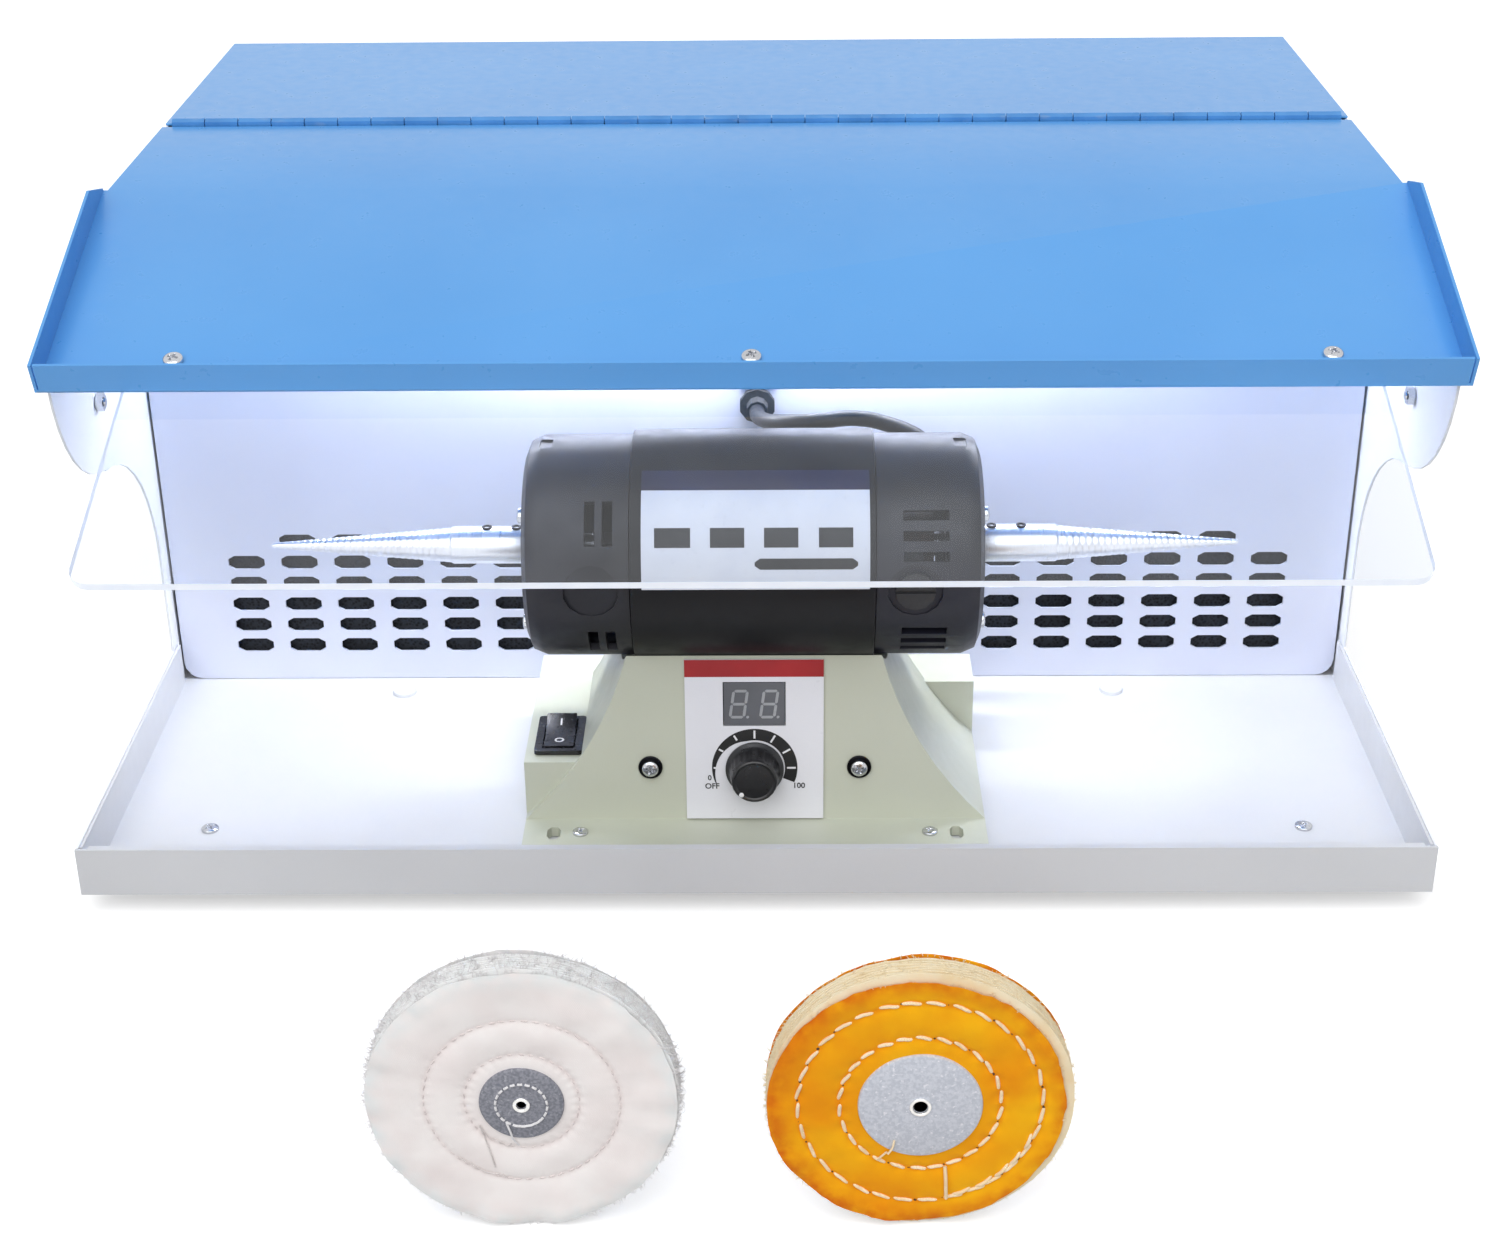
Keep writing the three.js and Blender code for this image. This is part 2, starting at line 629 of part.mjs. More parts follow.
// Side panel outline in (y, z): lip, waist cut, brow under the hood, and the sloping top edge
function sideOutline() {
  const bendShift = (SHEET + SEAT) * Math.tan(SLOPE / 2);
  const bend = [FLAP_BEND_Y + bendShift, UNDER_HOOD];
  const wingLength = FLAP_LENGTH - WING_FRONT;
  const wingTip = [bend[0] - wingLength * Math.cos(SLOPE), bend[1] - wingLength * Math.sin(SLOPE)];
  const browStart = BROW_START_ANGLE * DEGREE;
  const browY = wingTip[0] - BROW_RADIUS * Math.cos(browStart);
  const browZ = wingTip[1] - BROW_RADIUS * Math.sin(browStart);
  const brow = arcPoints(browY, browZ, BROW_RADIUS, BROW_START_ANGLE, BROW_END_ANGLE, 8);
  const waistZ = brow[brow.length - 1][1] - WAIST_DROP;
  const waist = arcPoints(
    WAIST_EDGE_Y - WAIST_RADIUS, waistZ, WAIST_RADIUS, WAIST_START_ANGLE, 0, 9);
  return [
    [SHEET + SEAT, 0], [CABINET_DEPTH, 0], [CABINET_DEPTH, UNDER_HOOD], bend, wingTip,
    ...brow, ...waist, [WAIST_EDGE_Y, LIP_HEIGHT], [SHEET + SEAT, LIP_HEIGHT],
  ];
}

function sidePanel(side) {
  const inside = side * WALL_INSIDE;
  const outside = side * HALF_WIDTH;
  const sheet = extrudeX(polygon(sideOutline()), Math.min(inside, outside), Math.max(inside, outside));
  const hole = rod('x', M4_RADIUS + SEAT, -OVERRUN, OVERRUN, [inside, SIDE_SCREW_Y, SIDE_SCREW_Z], 8);
  return cut(sheet, [hole]);
}

// Rear wall, folded forward at both sides, with two banks of exhaust slots
function rearWall() {
  const flangeFront = REAR_INSIDE - INNER_FLANGE;
  const pieces = [
    box(-FIT_INSIDE, FIT_INSIDE, REAR_INSIDE, REAR_FACE, ON_FLOOR, UNDER_HOOD),
    box(-FIT_INSIDE, SHEET - FIT_INSIDE, flangeFront, REAR_FACE, ON_FLOOR, UNDER_HOOD),
    box(FIT_INSIDE - SHEET, FIT_INSIDE, flangeFront, REAR_FACE, ON_FLOOR, UNDER_HOOD),
  ];
  const openings = [];
  for (const side of [-1, 1]) {
    for (let i = 0; i < EXHAUST_SLOTS; i += 1) {
      const z = FAN_Z + (i - (EXHAUST_SLOTS - 1) / 2) * EXHAUST_PITCH;
      const slot = slotShape(side * FAN_X, z, EXHAUST_SLOT_LENGTH, EXHAUST_SLOT_WIDTH);
      openings.push(extrudeY(slot, REAR_INSIDE - OVERRUN, REAR_FACE + OVERRUN, 2));
    }
  }
  const halfWidth = INLET_BODY_WIDTH / 2 + SEAT;
  const halfHeight = INLET_BODY_HEIGHT / 2 + SEAT;
  openings.push(box(
    INLET_X - halfWidth, INLET_X + halfWidth, REAR_INSIDE - OVERRUN, REAR_FACE + OVERRUN,
    INLET_Z - halfHeight, INLET_Z + halfHeight));
  return cut(join(pieces), openings);
}

// Fixed rear half of the hood, turned down behind the rear wall
function hoodRear() {
  const front = HINGE_Y + HOOD_EDGE_RELIEF;
  return join([
    box(-HALF_WIDTH, HALF_WIDTH, front, CABINET_DEPTH, CABINET_HEIGHT - SHEET, CABINET_HEIGHT),
    box(-FIT_INSIDE, FIT_INSIDE, CABINET_DEPTH - SHEET, CABINET_DEPTH,
      CABINET_HEIGHT - REAR_FLANGE, CABINET_HEIGHT),
  ]);
}

// Carries a shape drawn on the sloping half of the flap, whose origin is the bend, into place
function onSlope(geometry) {
  return geometry.rotateX(SLOPE).translate(0, FLAP_BEND_Y, CABINET_HEIGHT);
}

// Moving front half of the hood: flat top, bent slope, and upturned lips on three edges
function hoodFlap() {
  const slopeHalf = HALF_WIDTH + FLAP_WING;
  const lipInside = slopeHalf - SHEET;
  const flatRear = HINGE_Y - HOOD_EDGE_RELIEF;
  const sideLip = polygon([
    [-FLAP_LENGTH, -SHEET], [0, -SHEET], [0, FLAP_LIP_START],
    [-FLAP_LIP_RAMP, FLAP_LIP], [-FLAP_LENGTH, FLAP_LIP],
  ]);
  const frontHalf = lipInside - FLAP_CORNER_GAP;
  const pieces = [
    box(-HALF_WIDTH, HALF_WIDTH, FLAP_BEND_Y, flatRear, CABINET_HEIGHT - SHEET, CABINET_HEIGHT),
    onSlope(box(-slopeHalf, slopeHalf, -FLAP_LENGTH, 0, -SHEET, 0)),
    onSlope(box(-frontHalf, frontHalf, -FLAP_LENGTH, SHEET - FLAP_LENGTH, -SHEET, FLAP_LIP)),
    onSlope(extrudeX(sideLip, -slopeHalf, -lipInside)),
    onSlope(extrudeX(sideLip, lipInside, slopeHalf)),
  ];
  const holes = shieldBoltPlaces().map(([x, y]) => onSlope(
    rod('z', M4_RADIUS + SEAT, -OVERRUN, OVERRUN, [x, y, 0], 8)));
  return cut(join(pieces), holes);
}

function shieldBoltPlaces() {
  const y = SHIELD_BOLT_INSET - FLAP_LENGTH;
  return [[-SHIELD_BOLT_X, y], [0, y], [SHIELD_BOLT_X, y]];
}

// Clear shield under the flap, in the slope's own frame before it is carried into place
function shield() {
  const top = SHIELD_OVERLAP - FLAP_LENGTH;
  const bottom = -FLAP_LENGTH - SHIELD_DROP;
  const outline = roundedRectangle(-SHIELD_HALF, SHIELD_HALF, bottom, top, SHIELD_CORNER);
  const upper = -SHEET - SEAT;
  const sheet = extrudeZ(outline, upper - SHIELD_THICKNESS, upper, 2);
  const holes = shieldBoltPlaces().map(([x, y]) => rod(
    'z', M4_RADIUS + SEAT, -OVERRUN - SHIELD_THICKNESS, OVERRUN, [x, y, 0], 8));
  return onSlope(cut(sheet, holes));
}

// Bolt that holds the shield under the flap, drawn with its nut
function shieldBolt([x, y]) {
  const shank = SEAT + SHEET + SEAT + SHIELD_THICKNESS + SEAT;
  return onSlope(turnTo('z', boltWithNut(shank)).translate(x, y, SEAT));
}

// Piano hinge leaf on one side of the pin: side -1 is the moving front leaf, +1 the fixed rear one
function hingeLeaf(side) {
  const pitch = HINGE_LENGTH / KNUCKLE_COUNT;
  const start = -HINGE_LENGTH / 2;
  const top = UNDER_HOOD;
  const near = HINGE_Y + side * (KNUCKLE_RADIUS + HINGE_RELIEF);
  const far = HINGE_Y + side * (HOOD_EDGE_RELIEF + LEAF_WIDTH);
  const tongueEnd = near + side * TONGUE_OVERLAP;
  const pieces = [box(
    start, -start, Math.min(near, far), Math.max(near, far), top - LEAF_THICKNESS, top)];
  const first = side > 0 ? 0 : 1;
  for (let i = first; i < KNUCKLE_COUNT; i += 2) {
    const x0 = start + i * pitch + KNUCKLE_GAP / 2;
    const x1 = start + (i + 1) * pitch - KNUCKLE_GAP / 2;
    pieces.push(rod('x', KNUCKLE_RADIUS, x0, x1, [0, HINGE_Y, HINGE_Z], KNUCKLE_SIDES));
    pieces.push(box(
      x0, x1, Math.min(HINGE_Y, tongueEnd), Math.max(HINGE_Y, tongueEnd),
      top - LEAF_THICKNESS, HINGE_Z - KNUCKLE_RADIUS / 2));
  }
  const bore = rod('x', HINGE_PIN_RADIUS + SEAT, start - OVERRUN, OVERRUN - start,
    [0, HINGE_Y, HINGE_Z], PIN_SIDES);
  return cut(join(pieces), [bore]);
}

function hingePin() {
  const half = HINGE_LENGTH / 2;
  return rod('x', HINGE_PIN_RADIUS, -half, half, [0, HINGE_Y, HINGE_Z], PIN_SIDES);
}

// Grille panel: slotted sheet with flanges turned back at top and bottom
function grillePanel() {
  const top = UNDER_HOOD - LEAF_THICKNESS - SEAT;
  const back = GRILLE_Y + SHEET;
  const flangeHalf = GRILLE_HALF - GRILLE_CORNER;
  const pieces = [
    extrudeY(roundedRectangle(
      -GRILLE_HALF, GRILLE_HALF, ON_FLOOR, top, GRILLE_CORNER), GRILLE_Y, back, 2),
    box(-flangeHalf, flangeHalf, GRILLE_Y, back + INNER_FLANGE, ON_FLOOR, ON_FLOOR + SHEET),
    box(-flangeHalf, flangeHalf, GRILLE_Y, back + INNER_FLANGE, top - SHEET, top),
  ];
  const openings = slotPlaces().map(([x, z]) => extrudeY(
    slotShape(x, z, SLOT_LENGTH, SLOT_WIDTH), GRILLE_Y - OVERRUN, back + OVERRUN, 2));
  const throat = GROMMET_GROOVE_RADIUS + SEAT;
  openings.push(rod('y', throat, -OVERRUN, OVERRUN, [GROMMET_X, back, GROMMET_Z], 10));
  return cut(join(pieces), openings);
}

// Slot centres on both sides of the motor; the top row stops one column short
function slotPlaces() {
  const places = [];
  for (const side of [-1, 1]) {
    for (let column = 0; column < SLOT_COLUMNS; column += 1) {
      for (let row = 0; row < SLOT_ROWS; row += 1) {
        const short = row === SLOT_ROWS - 1 && column === SLOT_COLUMNS - 1;
        const x = side * (SLOT_FIRST_X + column * SLOT_PITCH_X);
        if (!short) places.push([x, SLOT_FIRST_Z + row * SLOT_PITCH_Z]);
      }
    }
  }
  return places;
}

function filterMat() {
  const half = GRILLE_HALF - FILTER_INSET;
  const front = GRILLE_Y + SHEET + GROMMET_LIP + SEAT * 2;
  const low = ON_FLOOR + SHEET + SEAT;
  const high = UNDER_HOOD - LEAF_THICKNESS - SEAT - SHEET - SEAT;
  return box(-half, half, front, front + FILTER_THICKNESS, low, high);
}

// Axial fan frame seated on the rear wall, with its rear struts, hub and stub axle
function fanFrame(x) {
  const half = FAN_SIZE / 2;
  const back = REAR_INSIDE - SEAT;
  const front = back - FAN_DEPTH;
  const outline = roundedRectangle(x - half, x + half, FAN_Z - half, FAN_Z + half, FAN_CORNER);
  const shell = cut(extrudeY(outline, front, back, 2), [
    rod('y', FAN_BORE_RADIUS, front - OVERRUN, back + OVERRUN, [x, 0, FAN_Z], 20),
  ]);
  const pieces = [shell];
  const strutHalf = FAN_STRUT / 2;
  const reach = (half + FAN_BORE_RADIUS) / 2;
  pieces.push(box(x - reach, x + reach, back - FAN_BACK, back, FAN_Z - strutHalf, FAN_Z + strutHalf));
  pieces.push(box(x - strutHalf, x + strutHalf, back - FAN_BACK, back, FAN_Z - reach, FAN_Z + reach));
  pieces.push(rod('y', FAN_HUB_RADIUS, back - FAN_BACK, back, [x, 0, FAN_Z], 12));
  pieces.push(rod('y', FAN_STUB_RADIUS, back - FAN_DEPTH / 2, back, [x, 0, FAN_Z], 8));
  return join(pieces);
}

// Fan rotor: cupped hub with pitched blades cut to the tip circle
function fanRotor(x) {
  const back = REAR_INSIDE - SEAT - FAN_BACK - SEAT;
  const front = back - FAN_ROTOR_DEPTH;
  const tip = FAN_BORE_RADIUS - FAN_TIP_CLEARANCE;
  const middle = (front + back) / 2;
  const blades = [];
  for (let i = 0; i < FAN_BLADES; i += 1) {
    const reach = FAN_ROTOR_DEPTH / 2;
    const blade = box(FAN_HUB_RADIUS / 2, FAN_BORE_RADIUS + OVERRUN,
      -FAN_BLADE_THICKNESS / 2, FAN_BLADE_THICKNESS / 2, -reach * 2, reach * 2);
    blade.rotateX(FAN_BLADE_ANGLE * DEGREE).rotateY(i * 2 * Math.PI / FAN_BLADES);
    blades.push(blade.translate(x, middle, FAN_Z));
  }
  const tipDisc = rod('y', tip, front, back, [x, 0, FAN_Z], 20);
  const hub = rod('y', FAN_HUB_RADIUS, front, back, [x, 0, FAN_Z], 12);
  const bore = rod('y', FAN_STUB_RADIUS + SEAT, back - FAN_DEPTH / 2, back + OVERRUN, [x, 0, FAN_Z], 8);
  return cut(join([hub, common(join(blades), tipDisc)]), [bore]);
}

// Mains inlet socket with its pocket and three blades
function powerInlet() {
  const face = REAR_FACE + SEAT;
  const halfWidth = INLET_WIDTH / 2;
  const halfHeight = INLET_HEIGHT / 2;
  const bodyHalfWidth = INLET_BODY_WIDTH / 2;
  const bodyHalfHeight = INLET_BODY_HEIGHT / 2;
  const shell = join([
    extrudeY(roundedRectangle(INLET_X - halfWidth, INLET_X + halfWidth,
      INLET_Z - halfHeight, INLET_Z + halfHeight, INLET_WALL), face, face + INLET_FLANGE, 2),
    box(INLET_X - bodyHalfWidth, INLET_X + bodyHalfWidth, face - INLET_BODY_DEPTH, face + INLET_FLANGE,
      INLET_Z - bodyHalfHeight, INLET_Z + bodyHalfHeight),
  ]);
  const pocketHalfWidth = bodyHalfWidth - INLET_WALL;
  const pocketHalfHeight = bodyHalfHeight - INLET_WALL;
  const pocketFloor = face + INLET_FLANGE - INLET_POCKET;
  const pocket = extrudeY(roundedRectangle(INLET_X - pocketHalfWidth, INLET_X + pocketHalfWidth,
    INLET_Z - pocketHalfHeight, INLET_Z + pocketHalfHeight, INLET_WALL),
  pocketFloor, face + INLET_FLANGE + OVERRUN, 2);
  const blades = [-1, 0, 1].map((step) => {
    const x = INLET_X + step * INLET_PIN_SPACING;
    const z = INLET_Z + (step === 0 ? INLET_PIN_RISE : -INLET_PIN_RISE);
    return box(x - INLET_PIN_WIDTH / 2, x + INLET_PIN_WIDTH / 2, pocketFloor - INLET_WALL,
      face - INLET_FLANGE,
      z - INLET_PIN_HEIGHT / 2, z + INLET_PIN_HEIGHT / 2);
  });
  return join([cut(shell, [pocket]), ...blades]);
}

// Lamp: aluminium channel on the grille panel, opening downwards, and the lens in its mouth
function lampChannel() {
  const half = LAMP_LENGTH / 2;
  const back = GRILLE_Y - SEAT;
  const front = back - LAMP_DEPTH;
  const outer = box(-half, half, front, back, LAMP_Z, LAMP_Z + LAMP_HEIGHT);
  const inner = box(-half - OVERRUN, half + OVERRUN, front + LAMP_WALL, back - LAMP_WALL,
    LAMP_Z - OVERRUN, LAMP_Z + LAMP_HEIGHT - LAMP_WALL);
  return cut(outer, [inner]);
}

function lampLens() {
  const half = LAMP_LENGTH / 2 - LAMP_LENS_INSET;
  const back = GRILLE_Y - SEAT - LAMP_WALL - SEAT;
  const front = GRILLE_Y - SEAT - LAMP_DEPTH + LAMP_WALL + SEAT;
  return box(-half, half, front, back, LAMP_Z + LAMP_LENS_INSET, LAMP_Z + LAMP_HEIGHT - LAMP_WALL - SEAT);
}

// Rubber foot under the tray with its screw pocket
function rubberFoot([x, y]) {
  const top = -SEAT;
  const pocketTop = -FOOT_HEIGHT + FOOT_POCKET_DEPTH;
  const profile = [
    [0, pocketTop], [FOOT_POCKET_RADIUS, pocketTop], [FOOT_POCKET_RADIUS, -FOOT_HEIGHT],
    [FOOT_RADIUS - FOOT_TAPER, -FOOT_HEIGHT], [FOOT_RADIUS, top], [0, top],
  ];
  return revolve('z', profile, [x, y, 0], 12);
}

// Bolt through a side panel with its nut inside
function sideBolt(side) {
  return boltWithNut(SHEET + SEAT * 2).rotateZ(-side * Math.PI / 2)
    .translate(side * (HALF_WIDTH + SEAT), SIDE_SCREW_Y, SIDE_SCREW_Z);
}

// Pedestal outline in (x, z) with hollow flares, for a given wall offset
function flareOutline(inset, bottom) {
  const base = PEDESTAL_HALF_BASE - inset;
  const neck = PEDESTAL_HALF_NECK - inset;
  const right = hollowArc([base, FLANGE_TOP - inset], [neck, PEDESTAL_HEIGHT],
    PEDESTAL_FLARE_RADIUS, FLARE_STEPS);
  const left = right.map(([x, z]) => [-x, z]).reverse();
  return [[-base, bottom], [base, bottom], ...right, ...left];
}

// Cast pedestal: flared hollow column, flange, rear box, switch box and motor saddle
function pedestal() {
  const base = PEDESTAL_HALF_BASE;
  const wall = PEDESTAL_WALL;
  const saddle = CAN_RADIUS + SEAT;
  const reach = base + OVERRUN;
  const boxInner = -SWITCH_BOX_INNER_X;
  const column = extrudeY(
    polygon(flareOutline(0, ON_FLOOR)), PEDESTAL_FACE_Y - OVERRUN, PEDESTAL_COLUMN_BACK);
  const ahead = leaned(box(-reach, reach, -FACE_CUT_DEPTH, 0, -FACE_CUT_DEPTH, PEDESTAL_HEIGHT + OVERRUN));
  const flange = extrudeZ(roundedRectangle(-base, base, PEDESTAL_FLANGE_FRONT, PEDESTAL_BACK, wall),
    ON_FLOOR, FLANGE_TOP, 2);
  const rearBox = box(
    -base, base, PEDESTAL_COLUMN_BACK - wall, PEDESTAL_BACK, ON_FLOOR, PEDESTAL_BACK_HEIGHT);
  const switchBox = box(-base, boxInner, SWITCH_BOX_FRONT, PEDESTAL_BACK, ON_FLOOR, SWITCH_BOX_TOP);
  const outer = join([cut(column, [ahead]), flange, rearBox, switchBox]);
  const hollow = cut(extrudeY(polygon(flareOutline(wall, -OVERRUN)), PEDESTAL_FACE_Y - OVERRUN,
    PEDESTAL_COLUMN_BACK - wall), [
    leaned(box(-reach, reach, -FACE_CUT_DEPTH, wall, -FACE_CUT_DEPTH, PEDESTAL_HEIGHT + OVERRUN)),
    rod('x', saddle + wall, -reach, reach, [0, MOTOR_Y, MOTOR_Z], MOTOR_SIDES),
  ]);
  const cutters = [
    hollow,
    rod('x', saddle, -reach, reach, [0, MOTOR_Y, MOTOR_Z], MOTOR_SIDES),
    box(-base + wall, base - wall, PEDESTAL_COLUMN_BACK, PEDESTAL_BACK - wall,
      -OVERRUN, PEDESTAL_BACK_HEIGHT - wall),
    box(-base + wall, boxInner - wall, SWITCH_BOX_FRONT + wall, PEDESTAL_BACK - wall,
      -OVERRUN, SWITCH_BOX_TOP - wall),
    ...pedestalFaceCuts(),
    ...switchCuts(),
    rod('y', GLAND_TAIL_RADIUS + SEAT, -OVERRUN, OVERRUN, [GLAND_X, PEDESTAL_COLUMN_BACK, GLAND_Z], 12),
  ];
  for (const side of [-1, 1]) {
    cutters.push(extrudeZ(slotShape(side * PEDESTAL_SLOT_X, PEDESTAL_SLOT_Y, PEDESTAL_SLOT_LENGTH,
      PEDESTAL_SLOT_WIDTH, false), -OVERRUN, FLANGE_TOP + OVERRUN, 2));
  }
  return cut(outer, cutters);
}

// Carries a shape drawn on the leaning front face, whose origin is the face's foot, into place
function leaned(geometry) {
  return geometry.rotateX(-LEAN).translate(0, PEDESTAL_FACE_Y, FLANGE_TOP);
}

function pedestalFaceCuts() {
  const through = PEDESTAL_WALL + OVERRUN;
  const halfWidth = DISPLAY_WIDTH / 2 + SEAT;
  const halfHeight = DISPLAY_HEIGHT / 2 + SEAT;
  const cuts = [
    box(-halfWidth, halfWidth, -OVERRUN, through, DISPLAY_CENTRE - halfHeight, DISPLAY_CENTRE + halfHeight),
    rod('y', BUSHING_RADIUS + SEAT, -OVERRUN, through, [0, 0, KNOB_CENTRE], 12),
  ];
  for (const side of [-1, 1]) {
    cuts.push(rod('y', M4_RADIUS + SEAT, -OVERRUN, through, [side * FACE_SCREW_X, 0, FACE_SCREW_HEIGHT], 8));
  }
  return cuts.map(leaned);
}

// Shelf cut level into the flare for the switch's bezel, and the opening for its body
function switchCuts() {
  const halfWidth = SWITCH_WIDTH / 2 - SWITCH_BODY_INSET + SEAT;
  const halfLength = SWITCH_LENGTH / 2 - SWITCH_BODY_INSET + SEAT;
  const shelfEdge = -SWITCH_X + SWITCH_WIDTH / 2 + SEAT;
  return [
    box(-PEDESTAL_HALF_BASE, shelfEdge, SWITCH_BOX_FRONT, PEDESTAL_COLUMN_BACK + OVERRUN,
      SWITCH_BOX_TOP, SWITCH_BOX_TOP + SHELF_CUT),
    box(-SWITCH_X - halfWidth, -SWITCH_X + halfWidth, SWITCH_Y - halfLength, SWITCH_Y + halfLength,
      SWITCH_BOX_TOP - SWITCH_BODY_DEPTH - SEAT, SWITCH_BOX_TOP + OVERRUN),
  ];
}

// Rocker switch body, with its bezel on the switch box
function switchBody() {
  const bezelBottom = SWITCH_BOX_TOP + SEAT;
  const bezelTop = bezelBottom + SWITCH_BEZEL;
  const halfWidth = SWITCH_WIDTH / 2;
  const halfLength = SWITCH_LENGTH / 2;
  const bodyHalfWidth = halfWidth - SWITCH_BODY_INSET;
  const bodyHalfLength = halfLength - SWITCH_BODY_INSET;
  const bezel = extrudeZ(roundedRectangle(-halfWidth, halfWidth, -halfLength, halfLength, SWITCH_BODY_INSET),
    bezelBottom, bezelTop, 2);
  const body = box(-bodyHalfWidth, bodyHalfWidth, -bodyHalfLength, bodyHalfLength,
    bezelTop - SWITCH_BODY_DEPTH, bezelTop - SEAT);
  const pocket = box(-SWITCH_WINDOW_WIDTH / 2, SWITCH_WINDOW_WIDTH / 2, -SWITCH_WINDOW_LENGTH / 2,
    SWITCH_WINDOW_LENGTH / 2, bezelTop - SWITCH_POCKET, bezelTop + OVERRUN);
  return cut(join([bezel, body]), [pocket]).translate(-SWITCH_X, SWITCH_Y, 0);
}

// Rocker, drawn level about its pivot, then tipped so that its front end is pressed in
function switchRocker() {
  const half = SWITCH_WINDOW_WIDTH / 2 - ROCKER_SIDE_GAP;
  const outline = polygon([
    [-ROCKER_KEEL_HALF, -ROCKER_KEEL], [ROCKER_KEEL_HALF, -ROCKER_KEEL],
    [ROCKER_HALF_LENGTH, ROCKER_HEEL], [0, ROCKER_WAIST], [-ROCKER_HALF_LENGTH, ROCKER_HEEL],
  ]);
  const pivot = SWITCH_BOX_TOP + SEAT + SWITCH_BEZEL - ROCKER_WAIST;
  return extrudeX(outline, -half, half).rotateX(ROCKER_TILT * DEGREE).translate(-SWITCH_X, SWITCH_Y, pivot);
}

// Pieces on the leaning face are drawn in its frame: x across, y into the pedestal, z up the face
function controlPlate() {
  const front = -SEAT - PLATE_THICKNESS;
  const plate = box(-PLATE_HALF_WIDTH, PLATE_HALF_WIDTH, front, -SEAT,
    PLATE_MARGIN, PLATE_MARGIN + PLATE_HEIGHT);
  const halfWidth = DISPLAY_WIDTH / 2 + SEAT;
  const halfHeight = DISPLAY_HEIGHT / 2 + SEAT;
  return cut(plate, [
    box(-halfWidth, halfWidth, front - OVERRUN, OVERRUN,
      DISPLAY_CENTRE - halfHeight, DISPLAY_CENTRE + halfHeight),
    rod('y', BUSHING_RADIUS + SEAT, front - OVERRUN, OVERRUN, [0, 0, KNOB_CENTRE], 12),
  ]);
}

function display() {
  const front = -SEAT - PLATE_THICKNESS;
  return box(-DISPLAY_WIDTH / 2, DISPLAY_WIDTH / 2, front, front + DISPLAY_DEPTH,
    DISPLAY_CENTRE - DISPLAY_HEIGHT / 2, DISPLAY_CENTRE + DISPLAY_HEIGHT / 2);
}

// Knob with its skirt, and the shaft that turns with it in the potentiometer
function knob() {
  const base = -SEAT - PLATE_THICKNESS - KNOB_LIFT;
  const tail = base - PEDESTAL_WALL;
  const profile = [
    [0, tail], [KNOB_SHAFT_RADIUS, tail], [KNOB_SHAFT_RADIUS, 0], [KNOB_SKIRT_RADIUS, 0],
    [KNOB_SKIRT_RADIUS, KNOB_SKIRT_HEIGHT / 2], [KNOB_CAP_RADIUS + KNOB_EDGE / 2, KNOB_SKIRT_HEIGHT],
    [KNOB_CAP_RADIUS, KNOB_SKIRT_HEIGHT + KNOB_EDGE], [KNOB_CAP_TOP_RADIUS, KNOB_HEIGHT - KNOB_EDGE],
    [KNOB_CAP_TOP_RADIUS - KNOB_EDGE, KNOB_HEIGHT], [0, KNOB_HEIGHT],
  ];
  return revolve('y', profile, [0, 0, 0], 20).rotateX(Math.PI).translate(0, base, KNOB_CENTRE);
}

// Control board with the potentiometer on it, whose bushing comes through the wall and the plate
function controlBoard() {
  const bodyFront = PEDESTAL_WALL + SEAT;
  const front = -SEAT - PLATE_THICKNESS;
  const bore = KNOB_SHAFT_RADIUS + SEAT;
  const boardFront = DISPLAY_DEPTH + front + SEAT;
  const profile = [
    [0, bodyFront + SEAT], [bore, bodyFront + SEAT], [bore, front], [BUSHING_RADIUS, front],
    [BUSHING_RADIUS, bodyFront], [POT_RADIUS, bodyFront], [POT_RADIUS, boardFront + BOARD_THICKNESS / 2],
    [0, boardFront + BOARD_THICKNESS / 2],
  ];
  return join([
    revolve('y', profile, [0, 0, KNOB_CENTRE], 16),
    box(-BOARD_HALF_WIDTH, BOARD_HALF_WIDTH, boardFront, boardFront + BOARD_THICKNESS,
      BOARD_LOW, BOARD_HIGH),
  ]);
}

// Screw with its washer on the leaning face
function faceScrew(side) {
  const washer = rod('y', FACE_WASHER_RADIUS, -SEAT - FACE_WASHER_THICKNESS, -SEAT, [0, 0, 0], 16);
  const screw = panScrew(PEDESTAL_WALL + SEAT + SCREW_TAIL).rotateX(Math.PI)
    .translate(0, -SEAT - FACE_WASHER_THICKNESS, 0);
  return join([washer, screw]).translate(side * FACE_SCREW_X, 0, FACE_SCREW_HEIGHT);
}

// Motor can and end bells, revolved about the motor's axis and then cut
function motorCan() {
  return ring('x', CAN_RADIUS - CAN_WALL, CAN_RADIUS, -CAN_HALF_LENGTH, CAN_HALF_LENGTH,
    [0, MOTOR_Y, MOTOR_Z], MOTOR_SIDES);
}

// Cutters set round the motor at an angle above the front, reaching in through the bell's wall
function ventCutter(x0, x1, halfWidth, angle) {
  const reach = box(x0, x1, -BELL_RADIUS - OVERRUN, -BELL_RADIUS + VENT_DEPTH, -halfWidth, halfWidth);
  return reach.rotateX(-angle * DEGREE).translate(0, MOTOR_Y, MOTOR_Z);
}

